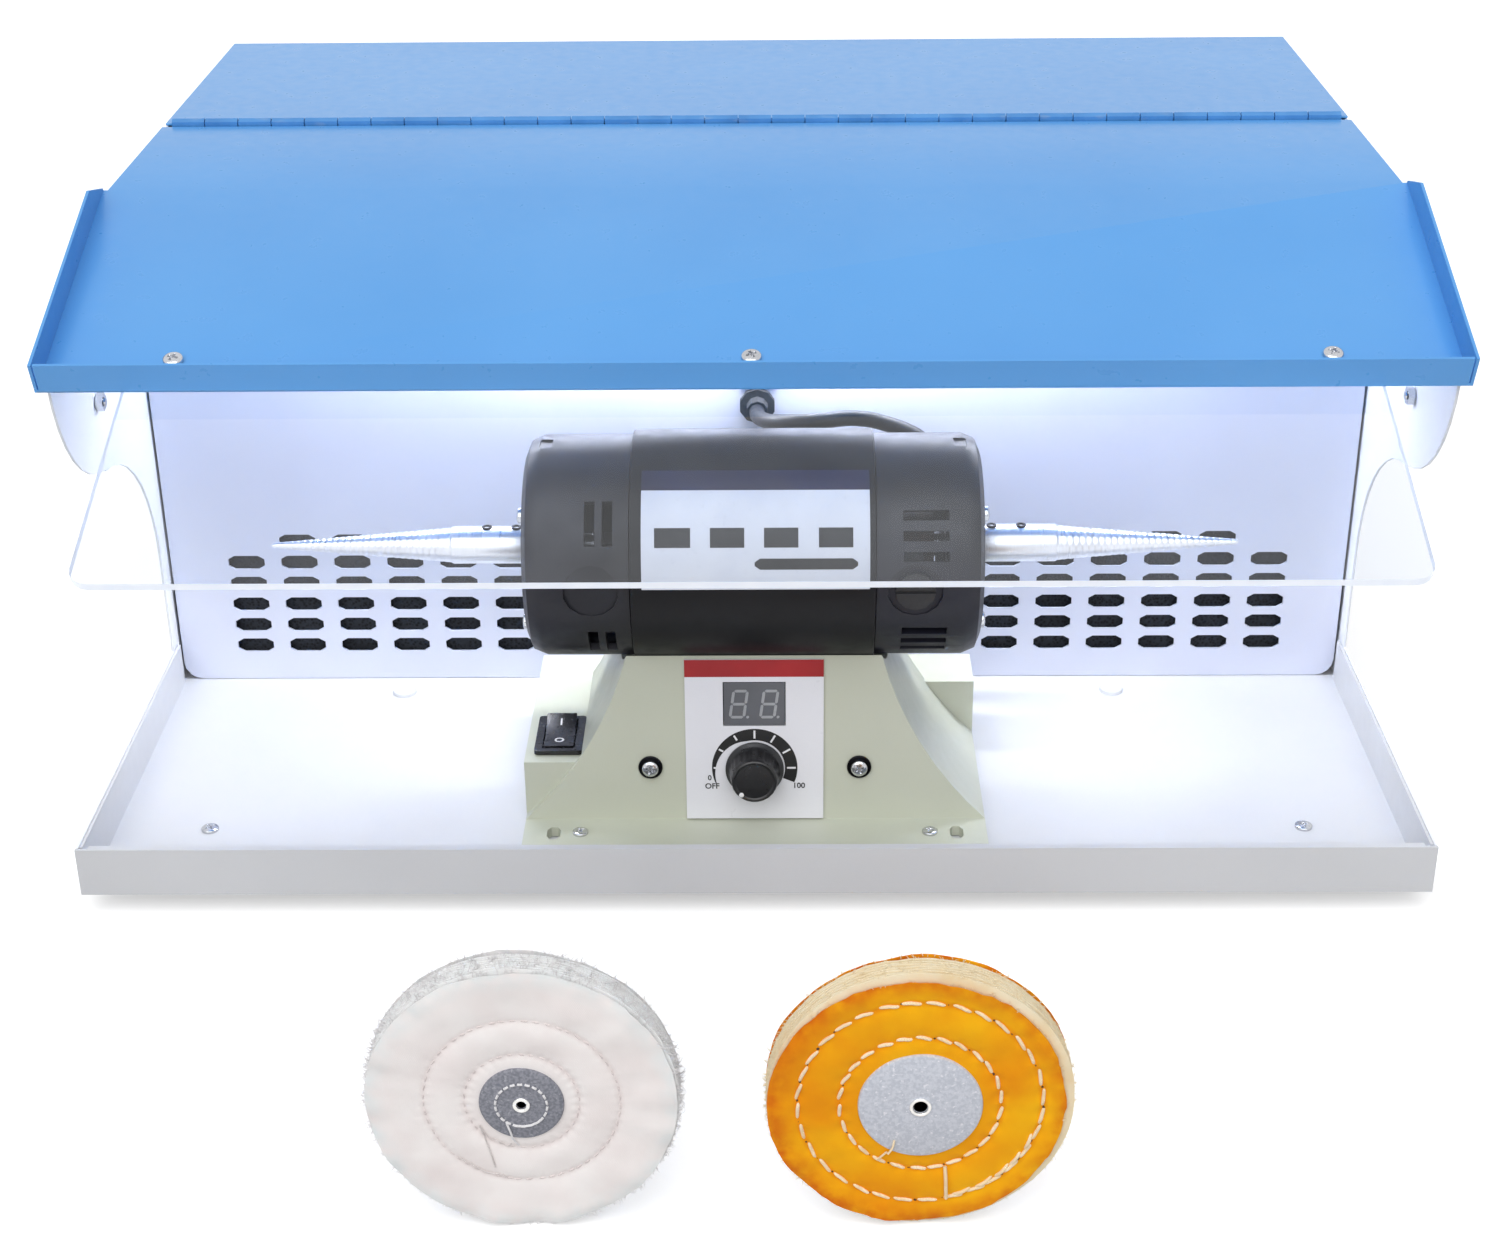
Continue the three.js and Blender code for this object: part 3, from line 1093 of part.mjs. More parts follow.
function endBell(side) {
  const start = CAN_HALF_LENGTH + SEAT;
  const end = MOTOR_HALF_LENGTH;
  const inner = BELL_RADIUS - BELL_WALL;
  const seatRadius = BEARING_RADIUS + SEAT;
  const bossRadius = seatRadius + BEARING_BOSS_WALL;
  const wallInside = end - BELL_WALL;
  const bossEnd = wallInside - BEARING_BOSS_DEPTH;
  const corner = arcPoints(BELL_RADIUS - BELL_CORNER, end - BELL_CORNER, BELL_CORNER, 0, QUARTER_TURN, 2);
  const profile = [
    [inner, start], [BELL_RADIUS, start], ...corner, [SHAFT_RADIUS + SEAT * 2, end],
    [SHAFT_RADIUS + SEAT * 2, wallInside], [seatRadius, wallInside], [seatRadius, bossEnd],
    [bossRadius, bossEnd], [bossRadius, wallInside], [inner - SEAT, wallInside], [inner, start],
  ];
  const shell = revolve('x', profile, [0, 0, 0], MOTOR_SIDES);
  if (side < 0) shell.rotateZ(Math.PI);
  shell.translate(0, MOTOR_Y, MOTOR_Z);
  const cutters = side > 0 ? axialVents() : ringVents();
  for (const front of [-1, 1]) {
    const recess = rod('y', BRUSH_RECESS_RADIUS, BELL_RADIUS - BRUSH_RECESS_DEPTH, BELL_RADIUS + OVERRUN,
      [0, 0, 0], 14);
    if (front < 0) recess.rotateX(Math.PI);
    cutters.push(recess.translate(side * BRUSH_X, MOTOR_Y, MOTOR_Z));
  }
  if (side > 0) {
    cutters.push(rod('y', BRUSH_BORE_RADIUS + SEAT, -BELL_RADIUS - OVERRUN, BELL_RADIUS + OVERRUN,
      [BRUSH_X, MOTOR_Y, MOTOR_Z], 12));
  }
  for (const front of [0, 1]) {
    const notch = box(RIM_NOTCH_X - RIM_NOTCH_WIDTH / 2, RIM_NOTCH_X + RIM_NOTCH_WIDTH / 2,
      -RIM_NOTCH_LENGTH / 2, RIM_NOTCH_LENGTH / 2, BELL_RADIUS - RIM_NOTCH_DEPTH, BELL_RADIUS + OVERRUN);
    if (side < 0) notch.rotateZ(Math.PI);
    cutters.push(notch.rotateX(front * Math.PI).translate(0, MOTOR_Y, MOTOR_Z));
  }
  return cut(shell, cutters);
}

// Angles of the vents round the bell, in degrees above the horizontal at the front
function axialVents() {
  const x0 = AXIAL_VENT_X - AXIAL_VENT_LENGTH / 2;
  const x1 = AXIAL_VENT_X + AXIAL_VENT_LENGTH / 2;
  const angles = [...AXIAL_VENT_ANGLES, ...AXIAL_VENT_ANGLES.map((a) => HALF_TURN - a)];
  return angles.map((angle) => ventCutter(x0, x1, AXIAL_VENT_WIDTH / 2, angle));
}

function ringVents() {
  const spans = [
    ...RING_VENT_SPANS, ...RING_VENT_SPANS.map(([low, high]) => [HALF_TURN - high, HALF_TURN - low])];
  const cutters = [];
  for (const offset of [-1, 1]) {
    const x = -RING_VENT_X + offset * RING_VENT_PITCH / 2;
    for (const [low, high] of spans) {
      cutters.push(ringSector(x - RING_VENT_WIDTH / 2, x + RING_VENT_WIDTH / 2, low, high));
    }
  }
  return cutters;
}

// Wedge of a ring round the motor between two angles, wide enough to cut through the bell's wall
function ringSector(x0, x1, low, high) {
  const inner = BELL_RADIUS - VENT_DEPTH;
  const outer = BELL_RADIUS + OVERRUN;
  const outline = [
    ...arcPoints(0, 0, outer, HALF_TURN - high, HALF_TURN - low, 4),
    ...arcPoints(0, 0, inner, HALF_TURN - low, HALF_TURN - high, 4),
  ];
  return extrudeX(polygon(outline), x0, x1).translate(0, MOTOR_Y, MOTOR_Z);
}

// Stator: round yoke with two pole shoes that face the armature
function statorCore() {
  const outer = CAN_RADIUS - CAN_WALL - SEAT;
  const yokeInside = outer - STATOR_YOKE;
  const halfPole = POLE_ARC / 2;
  const outline = new THREE.Shape();
  outline.absarc(0, 0, outer, 0, 2 * Math.PI, false);
  const poles = [
    ...arcPoints(0, 0, STATOR_BORE, -halfPole, halfPole, 6),
    ...arcPoints(0, 0, yokeInside, halfPole, HALF_TURN - halfPole, 6),
    ...arcPoints(0, 0, STATOR_BORE, HALF_TURN - halfPole, HALF_TURN + halfPole, 6),
    ...arcPoints(0, 0, yokeInside, HALF_TURN + halfPole, FULL_TURN - halfPole, 6),
  ];
  outline.holes.push(new THREE.Path(poles.map(([a, b]) => new THREE.Vector2(a, b))));
  return extrudeX(outline, -STATOR_HALF_LENGTH, STATOR_HALF_LENGTH, 14).translate(0, MOTOR_Y, MOTOR_Z);
}

// Armature: slotted laminations with the shaft's bore
function armature() {
  const outline = [];
  for (let i = 0; i < ARMATURE_SLOTS; i += 1) {
    const tooth = FULL_TURN / ARMATURE_SLOTS;
    const middle = i * tooth;
    const floorRadius = ARMATURE_RADIUS - ARMATURE_SLOT_DEPTH;
    outline.push(...arcPoints(
      0, 0, ARMATURE_RADIUS, middle - tooth * TOOTH_TIP_SHARE, middle + tooth * TOOTH_TIP_SHARE, 1));
    outline.push(...arcPoints(
      0, 0, floorRadius, middle + tooth * SLOT_FLOOR_START_SHARE, middle + tooth * SLOT_FLOOR_END_SHARE, 1));
  }
  const shape = polygon(outline);
  const bore = new THREE.Path();
  bore.absarc(0, 0, SHAFT_RADIUS + SEAT, 0, 2 * Math.PI, true);
  shape.holes.push(bore);
  return extrudeX(shape, -ARMATURE_HALF_LENGTH, ARMATURE_HALF_LENGTH, 6).translate(0, MOTOR_Y, MOTOR_Z);
}

function commutator() {
  const half = COMMUTATOR_LENGTH / 2;
  return ring('x', SHAFT_RADIUS + SEAT, COMMUTATOR_RADIUS, BRUSH_X - half, BRUSH_X + half,
    [0, MOTOR_Y, MOTOR_Z], 20);
}

// Cooling fan inside the left bell: back plate with radial blades
function coolingFan() {
  const centre = [0, MOTOR_Y, MOTOR_Z];
  const inside = -COOLING_FAN_X;
  const pieces = [
    rod('x', COOLING_FAN_RADIUS, inside - COOLING_FAN_PLATE, inside, centre, 20),
    rod('x', COOLING_FAN_HUB, inside - COOLING_FAN_DEPTH, inside, centre, 16),
  ];
  for (let i = 0; i < COOLING_FAN_BLADES; i += 1) {
    const blade = box(inside - COOLING_FAN_DEPTH, inside - COOLING_FAN_PLATE / 2, COOLING_FAN_HUB / 2,
      COOLING_FAN_RADIUS - COOLING_FAN_BLADE, -COOLING_FAN_BLADE / 2, COOLING_FAN_BLADE / 2);
    pieces.push(blade.rotateX(i * 2 * Math.PI / COOLING_FAN_BLADES).translate(...centre));
  }
  const bore = rod('x', SHAFT_RADIUS + SEAT, -MOTOR_HALF_LENGTH, 0, centre, 12);
  return cut(join(pieces), [bore]);
}

function motorShaft() {
  const end = SPINDLE_START + SPINDLE_BORE_DEPTH - SEAT;
  return rod('x', SHAFT_RADIUS, -end, end, [0, MOTOR_Y, MOTOR_Z], 16);
}

function bearing(side) {
  const outside = MOTOR_HALF_LENGTH - BELL_WALL - SEAT;
  const from = Math.min(side * outside, side * (outside - BEARING_WIDTH));
  return ring('x', SHAFT_RADIUS + SEAT, BEARING_RADIUS, from, from + BEARING_WIDTH,
    [0, MOTOR_Y, MOTOR_Z], 16);
}

// Brush with its holder and the slotted cap in the bell's recess
function brush(side) {
  const near = COMMUTATOR_RADIUS + BRUSH_RUNNING_GAP;
  const seat = BELL_RADIUS - BRUSH_RECESS_DEPTH + SEAT;
  const top = seat + BRUSH_CAP_THICKNESS;
  const holder = join([
    box(-BRUSH_WIDTH / 2, BRUSH_WIDTH / 2, near, seat - BRUSH_HOLDER_START,
      -BRUSH_HEIGHT / 2, BRUSH_HEIGHT / 2),
    rod('y', BRUSH_BORE_RADIUS, seat - BRUSH_TUBE_START, seat + BRUSH_CAP_THICKNESS / 2, [0, 0, 0], 12),
    rod('y', BRUSH_CAP_RADIUS, seat, top, [0, 0, 0], 12),
  ]);
  const groove = box(-BRUSH_CAP_RADIUS, BRUSH_CAP_RADIUS, seat + BRUSH_CAP_THICKNESS / 2, top + OVERRUN,
    -BRUSH_CAP_GROOVE / 2, BRUSH_CAP_GROOVE / 2);
  const slotted = cut(holder, [groove]);
  if (side < 0) slotted.rotateX(Math.PI);
  return slotted.translate(BRUSH_X, MOTOR_Y, MOTOR_Z);
}

// Tapered spindle with a bored collar and its two set screws
function spindle(side) {
  const bore = SHAFT_RADIUS + SEAT;
  const boreEnd = SPINDLE_START + SPINDLE_BORE_DEPTH;
  const profile = [
    [0, boreEnd], [bore, boreEnd], [bore, SPINDLE_START],
    [SPINDLE_COLLAR_RADIUS - SPINDLE_EDGE, SPINDLE_START],
    [SPINDLE_COLLAR_RADIUS, SPINDLE_START + SPINDLE_EDGE],
    [SPINDLE_COLLAR_RADIUS, SPINDLE_COLLAR_END - SPINDLE_EDGE],
    [SPINDLE_TAPER_RADIUS, SPINDLE_COLLAR_END], [SPINDLE_TIP_RADIUS, SPINDLE_TIP - SPINDLE_TIP_RADIUS],
    [SPINDLE_TIP_RADIUS / 2, SPINDLE_TIP], [0, SPINDLE_TIP],
  ];
  const pieces = [revolve('x', profile, [0, 0, 0], 16)];
  for (const x of [SET_SCREW_FIRST, SET_SCREW_FIRST + SET_SCREW_SPACING]) {
    pieces.push(rod('z', SET_SCREW_RADIUS, (bore + SPINDLE_COLLAR_RADIUS) / 2,
      SPINDLE_COLLAR_RADIUS + SET_SCREW_PROUD, [x, 0, 0], 8));
  }
  const whole = join(pieces);
  if (side < 0) whole.rotateY(Math.PI).rotateX(Math.PI);
  return whole.translate(0, MOTOR_Y, MOTOR_Z);
}

// Grommet in the grille panel: groove in the sheet, lips on both faces, and a nose round the lead
function grommet() {
  const hole = LEAD_RADIUS + SEAT;
  const front = GRILLE_Y - SEAT;
  const back = GRILLE_Y + SHEET + SEAT;
  const profile = [
    [hole, front - GROMMET_NOSE], [GROMMET_NOSE_RADIUS, front - GROMMET_NOSE],
    [GROMMET_NOSE_RADIUS, front - GROMMET_LIP], [GROMMET_RADIUS, front - GROMMET_LIP],
    [GROMMET_RADIUS, front], [GROMMET_GROOVE_RADIUS, front], [GROMMET_GROOVE_RADIUS, back],
    [GROMMET_RADIUS, back], [GROMMET_RADIUS, back + GROMMET_LIP], [hole, back + GROMMET_LIP],
    [hole, front - GROMMET_NOSE],
  ];
  return revolve('y', profile, [GROMMET_X, 0, GROMMET_Z], 10);
}

// Small plate over the grommet
function cableClip() {
  const back = GRILLE_Y - SEAT;
  const low = GROMMET_Z + CLIP_BOTTOM;
  const outline = roundedRectangle(GROMMET_X - CLIP_HALF_WIDTH, GROMMET_X + CLIP_HALF_WIDTH,
    low, low + CLIP_HEIGHT, CLIP_CORNER);
  return extrudeY(outline, back - CLIP_THICKNESS, back, 2);
}

// Cable gland on the back of the pedestal's column, with a short tail through the wall
function leadGland() {
  const face = PEDESTAL_COLUMN_BACK + SEAT;
  const profile = [
    [0, face - GLAND_TAIL], [GLAND_TAIL_RADIUS, face - GLAND_TAIL], [GLAND_TAIL_RADIUS, face],
    [GLAND_FLANGE_RADIUS, face], [GLAND_FLANGE_RADIUS, face + GLAND_FLANGE],
    [GLAND_NOSE_RADIUS, face + GLAND_FLANGE], [LEAD_RADIUS + SEAT, face + GLAND_FLANGE + GLAND_NOSE],
    [0, face + GLAND_FLANGE + GLAND_NOSE],
  ];
  return revolve('y', profile, [GLAND_X, 0, GLAND_Z], 12);
}

// Motor lead from the grommet, round behind the motor and down to the gland
function motorLead() {
  const start = GRILLE_Y + SHEET;
  const end = PEDESTAL_COLUMN_BACK + SEAT + GLAND_FLANGE + GLAND_NOSE + SEAT;
  const between = LEAD_ROUTE.map(([x, y, rise]) => [x, y, MOTOR_Z + rise]);
  const route = [[GROMMET_X, start, GROMMET_Z], ...between, [GLAND_X, end, GLAND_Z]];
  const curve = new THREE.CatmullRomCurve3(route.map((p) => new THREE.Vector3(...p)), false, 'centripetal');
  const section = arcPoints(
    0, 0, LEAD_RADIUS, 0, FULL_TURN - FULL_TURN / LEAD_SIDES, LEAD_SIDES - 1);
  return new THREE.ExtrudeGeometry(polygon(section), {
    steps: LEAD_STEPS, bevelEnabled: false, extrudePath: curve,
  });
}

// Stitched buffing wheel: cloth disc whose plies part at the rim, standing on its edge
function buffCloth(x, radius, boreRadius) {
  const bore = boreRadius + EYELET_WALL + SEAT;
  const profile = [[bore, 0]];
  const ply = WHEEL_THICKNESS / WHEEL_PLIES;
  profile.push([radius * CROWN_START_SHARE, 0], [radius * CROWN_FULL_SHARE, -WHEEL_CROWN / 2]);
  profile.push([radius - WHEEL_PLY_NOTCH, -WHEEL_CROWN / 2]);
  for (let i = 0; i < WHEEL_PLIES; i += 1) {
    profile.push([radius, i * ply + ply / 2]);
    if (i < WHEEL_PLIES - 1) profile.push([radius - WHEEL_PLY_NOTCH, (i + 1) * ply]);
  }
  profile.push([radius - WHEEL_PLY_NOTCH, WHEEL_THICKNESS + WHEEL_CROWN / 2]);
  profile.push([radius * CROWN_FULL_SHARE, WHEEL_THICKNESS + WHEEL_CROWN / 2]);
  profile.push([radius * CROWN_START_SHARE, WHEEL_THICKNESS]);
  profile.push([bore, WHEEL_THICKNESS], [bore, 0]);
  return revolve('y', profile, [x, WHEEL_FACE_Y, radius], WHEEL_SIDES);
}

// Hub: a disc on each face of the wheel, joined by the eyelet through its bore
function buffHub(x, radius, hubRadius, boreRadius) {
  const front = -SEAT - HUB_DISC;
  const back = WHEEL_THICKNESS + SEAT + HUB_DISC;
  const eyelet = boreRadius + EYELET_WALL;
  const profile = [
    [boreRadius, front], [hubRadius - HUB_EDGE, front], [hubRadius, front + HUB_EDGE], [hubRadius, -SEAT],
    [eyelet, -SEAT], [eyelet, WHEEL_THICKNESS + SEAT], [hubRadius, WHEEL_THICKNESS + SEAT],
    [hubRadius, back - HUB_EDGE], [hubRadius - HUB_EDGE, back], [boreRadius, back], [boreRadius, front],
  ];
  return revolve('y', profile, [x, WHEEL_FACE_Y, radius], 16);
}

// Cabinet
place(machine, 'base_tray', 'white_paint', trayFloor());
place(machine, 'left_side_panel', 'white_paint', sidePanel(-1));
place(machine, 'right_side_panel', 'white_paint', sidePanel(1));
place(machine, 'rear_wall', 'white_paint', rearWall());
place(machine, 'hood_rear_panel', 'blue_paint', hoodRear());
place(machine, 'grille_panel', 'lilac_paint', grillePanel());
place(machine, 'filter_mat', 'filter', filterMat());
for (const [name, corner] of Object.entries(FOOT_PLACES)) {
  place(machine, `rubber_foot_${name}`, 'dark_rubber', rubberFoot(corner));
}

// Hinged hood flap with its shield
place(machine, 'hood_flap', 'blue_paint', hoodFlap());
place(machine, 'hinge_leaf_fixed', 'steel', hingeLeaf(1));
place(machine, 'hinge_leaf_moving', 'steel', hingeLeaf(-1));
place(machine, 'hinge_pin', 'steel', hingePin());
place(machine, 'clear_shield', 'clear', shield());
['left', 'middle', 'right'].forEach((name, i) => {
  place(machine, `shield_bolt_${name}`, 'steel', shieldBolt(shieldBoltPlaces()[i]));
});

// Extraction, lamp and what comes in pairs on the cabinet
for (const [name, side] of Object.entries(SIDES)) {
  place(machine, `side_bolt_${name}`, 'steel', sideBolt(side));
  place(machine, `fan_frame_${name}`, 'black_plastic', fanFrame(side * FAN_X));
  place(machine, `fan_rotor_${name}`, 'black_plastic', fanRotor(side * FAN_X));
}
place(machine, 'power_inlet', 'black_plastic', powerInlet());
place(machine, 'lamp_channel', 'spindle', lampChannel());
place(machine, 'lamp_lens', 'lens', lampLens());

// Pedestal and controls
place(machine, 'pedestal', 'beige_paint', pedestal());
place(machine, 'switch_body', 'black_plastic', switchBody());
place(machine, 'switch_rocker', 'black_plastic', switchRocker());
place(pedestalFace, 'control_plate', 'plate', controlPlate());
place(pedestalFace, 'digital_display', 'display', display());
place(pedestalFace, 'speed_knob', 'black_plastic', knob());
place(pedestalFace, 'control_board', 'board', controlBoard());
for (const [name, side] of Object.entries(SIDES)) {
  place(pedestalFace, `face_screw_${name}`, 'steel', faceScrew(side));
}

// Motor and spindles
place(machine, 'motor_can', 'black_gloss', motorCan());
for (const [name, side] of Object.entries(SIDES)) {
  place(machine, `${name}_end_bell`, 'black_gloss', endBell(side));
  place(machine, `bearing_${name}`, 'steel', bearing(side));
  place(machine, `${name}_spindle`, 'spindle', spindle(side));
}
place(machine, 'stator_core', 'laminate', statorCore());
place(machine, 'brush_front', 'black_plastic', brush(-1));
place(machine, 'brush_rear', 'black_plastic', brush(1));
place(machine, 'motor_shaft', 'steel', motorShaft());
place(machine, 'armature', 'laminate', armature());
place(machine, 'commutator', 'copper', commutator());
place(machine, 'cooling_fan', 'black_plastic', coolingFan());

// Motor lead
place(machine, 'panel_grommet', 'dark_rubber', grommet());
place(machine, 'cable_clip', 'steel', cableClip());
place(machine, 'lead_gland', 'dark_rubber', leadGland());
place(machine, 'motor_lead', 'dark_rubber', motorLead());

// Buffing wheels, on the surface in front of the machine
place(bench_buffer, 'white_buff', 'white_cloth',
  buffCloth(WHITE_WHEEL_X, WHITE_WHEEL_RADIUS, WHITE_BORE_RADIUS));
place(bench_buffer, 'white_buff_hub', 'grey_hub',
  buffHub(WHITE_WHEEL_X, WHITE_WHEEL_RADIUS, WHITE_HUB_RADIUS, WHITE_BORE_RADIUS));
place(bench_buffer, 'yellow_buff', 'yellow_cloth',
  buffCloth(YELLOW_WHEEL_X, YELLOW_WHEEL_RADIUS, YELLOW_BORE_RADIUS));
place(bench_buffer, 'yellow_buff_hub', 'pale_hub',
  buffHub(YELLOW_WHEEL_X, YELLOW_WHEEL_RADIUS, YELLOW_HUB_RADIUS, YELLOW_BORE_RADIUS));

// The origin goes to the middle of the footprint
const extent = new THREE.Box3().setFromObject(bench_buffer);
bench_buffer.position.y = -(extent.min.y + extent.max.y) / 2;

export default bench_buffer;
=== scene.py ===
import math
import random

import bpy
from mathutils import Matrix, Vector, noise


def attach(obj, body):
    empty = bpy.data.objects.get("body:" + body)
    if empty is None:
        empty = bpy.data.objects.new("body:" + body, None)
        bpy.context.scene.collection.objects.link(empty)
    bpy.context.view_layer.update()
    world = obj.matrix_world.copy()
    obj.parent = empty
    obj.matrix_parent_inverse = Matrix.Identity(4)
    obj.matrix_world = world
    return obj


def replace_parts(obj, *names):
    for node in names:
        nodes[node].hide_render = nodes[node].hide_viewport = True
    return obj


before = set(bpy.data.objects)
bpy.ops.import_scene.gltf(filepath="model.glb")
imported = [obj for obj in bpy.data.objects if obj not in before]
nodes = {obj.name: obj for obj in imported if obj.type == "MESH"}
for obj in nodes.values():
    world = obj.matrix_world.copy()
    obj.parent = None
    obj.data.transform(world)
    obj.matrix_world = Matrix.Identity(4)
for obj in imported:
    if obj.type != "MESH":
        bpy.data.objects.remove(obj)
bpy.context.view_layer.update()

# Frames of the parts. Sizes below are in millimetres, in these frames.
MM = 0.001
FRONT_OFFSET = 122.2
FOOT_HEIGHT = 10
FLAP_SLOPE = 19
FACE_LEAN = 5
PLATE_FRONT = -1.3
KNOB_Z = 24
WHEEL_FRONT = -183
WHITE_CENTRE = (-73.4, 51.5)
YELLOW_CENTRE = (55.3, 50.5)
WHITE_RINGS = (18.7, 31.9)
YELLOW_RINGS = (26.2, 39.7)
SIDES = (("left", -1), ("right", 1))


def moved(x, y, z):
    return Matrix.Translation((x, y, z))


def turned(degrees, axis):
    return Matrix.Rotation(math.radians(degrees), 4, axis)


GROUND = Matrix.Scale(MM, 4) @ moved(0, -FRONT_OFFSET, 0)
MACHINE = GROUND @ moved(0, 0, FOOT_HEIGHT)
FACE = MACHINE @ moved(0, 47, 6) @ turned(-FACE_LEAN, "X")
SLOPE = MACHINE @ moved(0, 168, 240) @ turned(FLAP_SLOPE, "X")
MOTOR = MACHINE @ moved(0, 85, 114.5)


def on_plate(x, z, lift=0.03):
    """Plane on the front of the control plate, its +Z towards the viewer."""
    return FACE @ moved(x, PLATE_FRONT - lift, z) @ turned(90, "X")


def put(name, data):
    """A new object in the scene, from its data."""
    made = bpy.data.objects.new(name, data)
    bpy.context.scene.collection.objects.link(made)
    return made


def dress(piece, material, body="root"):
    """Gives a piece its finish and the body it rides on."""
    piece.data.materials.append(material)
    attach(piece, body)
    return piece


# Camera at the photograph's angle
CAMERA_PLACE = (0.01058, -0.91622, 0.53649)
CAMERA_PITCH = 26.957
CAMERA_YAW = -0.811
CAMERA_ROLL = -0.575
CAMERA_LENS = 56.83


def place_camera():
    data = bpy.data.cameras.new("camera")
    data.sensor_fit = "HORIZONTAL"
    data.sensor_width = 36
    data.lens = CAMERA_LENS
    data.clip_start = 0.05
    data.clip_end = 50
    camera = put("camera", data)
    aim = turned(-CAMERA_YAW, "Z") @ turned(90 - CAMERA_PITCH, "X") @ turned(CAMERA_ROLL, "Z")
    camera.matrix_world = Matrix.Translation(CAMERA_PLACE) @ aim
    bpy.context.scene.camera = camera


place_camera()


# Shader building


def linear(tone):
    """An sRGB colour from 0 to 255 as a linear one."""
    parts = [value / 255 for value in tone]
    return (*[part / 12.92 if part <= 0.04045 else ((part + 0.055) / 1.055) ** 2.4 for part in parts], 1.0)


class Tree:
    """A node tree with helpers for what is built in it."""

    def __init__(self, tree):
        self.tree = tree
        tree.nodes.clear()

    def feed(self, socket, value):
        """Links a socket from another, or gives it a constant."""
        if isinstance(value, bpy.types.NodeSocket):
            self.tree.links.new(value, socket)
        else:
            socket.default_value = value

    def node(self, kind, inputs=None, **settings):
        made = self.tree.nodes.new(kind)
        for key, value in settings.items():
            setattr(made, key, value)
        for key, value in (inputs or {}).items():
            self.feed(made.inputs[key], value)
        return made

    def math(self, operation, a, b=0.0):
        return self.node("ShaderNodeMath", {0: a, 1: b}, operation=operation).outputs[0]

    def times(self, a, b):
        return self.math("MULTIPLY", a, b)

    def wave(self, value, length):
        """Sine that turns once in each length."""
        return self.math("SINE", self.times(value, math.tau / length))

    def off(self, value, middle):
        """How far a value is from a middle."""
        return self.math("ABSOLUTE", self.math("SUBTRACT", value, middle))

    def band(self, value, low, high, to_low=0.0, to_high=1.0):
        """A value between low and high as one between to_low and to_high."""
        return self.node("ShaderNodeMapRange", {
            "Value": value, "From Min": low, "From Max": high, "To Min": to_low, "To Max": to_high,
        }).outputs[0]

    def seen(self):
        """1 for what the camera sees, straight, mirrored or through clear pieces; 0 for other light."""
        path = self.node("ShaderNodeLightPath").outputs
        through = self.math("MAXIMUM", path["Is Glossy Ray"], path["Is Transmission Ray"])
        return self.math("MAXIMUM", path["Is Camera Ray"], through)


class Finish(Tree):
    """One procedural material: a principled shader with helpers for what feeds it."""

    def __init__(self, name, roughness=0.5, metallic=0.0):
        self.material = bpy.data.materials.new(name)
        self.material.use_nodes = True
        super().__init__(self.material.node_tree)
        self.shader = self.node("ShaderNodeBsdfPrincipled", {"Roughness": roughness, "Metallic": metallic})
        self.output = self.node("ShaderNodeOutputMaterial", {0: self.shader.outputs[0]})
        coordinates = self.node("ShaderNodeTexCoord").outputs
        self.place = coordinates["Object"]
        self.facing = coordinates["Normal"]
        self.height = None

    def set(self, **values):
        for key, value in values.items():
            self.feed(self.shader.inputs[key.replace("_", " ")], value)

    def grain(self, scale, detail=3.0, stretch=None):
        """Noise from 0 to 1, at that many patches a metre, stretched along an axis where one is given."""
        place = self.place
        if stretch:
            place = self.node("ShaderNodeMapping", {"Vector": place, "Scale": stretch}).outputs[0]
        return self.node("ShaderNodeTexNoise", {"Vector": place, "Scale": scale, "Detail": detail}).outputs[0]

    def blend(self, factor, a, b, mode="MIX"):
        """Mix of two colours, each a socket or an sRGB colour from 0 to 255."""
        made = self.node("ShaderNodeMix", data_type="RGBA", blend_type=mode)
        for index, value in ((0, factor), (6, a), (7, b)):
            self.feed(made.inputs[index], linear(value) if isinstance(value, tuple) else value)
        return made.outputs[2]

    def shade(self, colour, by):
        return self.blend(1.0, colour, by, "MULTIPLY")

    def speckle(self, dark, light, scale, low=0.35, high=0.65):
        """Colour that drifts between two tones in soft patches."""
        return self.blend(self.band(self.grain(scale), low, high), dark, light)

    def bump(self, height, distance, strength=1.0):
        inputs = {"Height": height, "Distance": distance, "Strength": strength}
        if self.height is not None:
            inputs["Normal"] = self.height
        self.height = self.node("ShaderNodeBump", inputs).outputs[0]
        self.feed(self.shader.inputs["Normal"], self.height)
        return self

    def axis(self, name):
        return self.node("ShaderNodeSeparateXYZ", {0: self.place}).outputs[name]


def powder_paint(name, dark, light, roughness, coat=0.0, peel=0.000006, gloss=0.5):
    """Powder coating: slight drift of tone, orange peel and fine texture."""
    finish = Finish(name, roughness)
    dust = finish.band(finish.grain(2200, 1), 0.3, 0.7, 0.985, 1.0)
    sheen = finish.band(finish.grain(160), 0.3, 0.7, roughness * 0.85, roughness * 1.15)
    finish.set(Base_Color=finish.shade(finish.speckle(dark, light, 9), dust), Roughness=sheen)
    finish.set(Coat_Weight=coat, Coat_Roughness=0.12, Specular_IOR_Level=gloss)
    finish.bump(finish.grain(700, 2), peel).bump(finish.grain(2600, 1), peel / 3)
    return finish.material


def moulded(name, dark, light, roughness, texture=0.00002):
    """Moulded plastic with a fine spark-eroded texture."""
    finish = Finish(name, roughness)
    sheen = finish.band(finish.grain(500), 0.3, 0.7, roughness * 0.8, roughness * 1.25)
    finish.set(Base_Color=finish.speckle(dark, light, 40), Roughness=sheen)
    finish.bump(finish.grain(3500, 2), texture)
    return finish.material


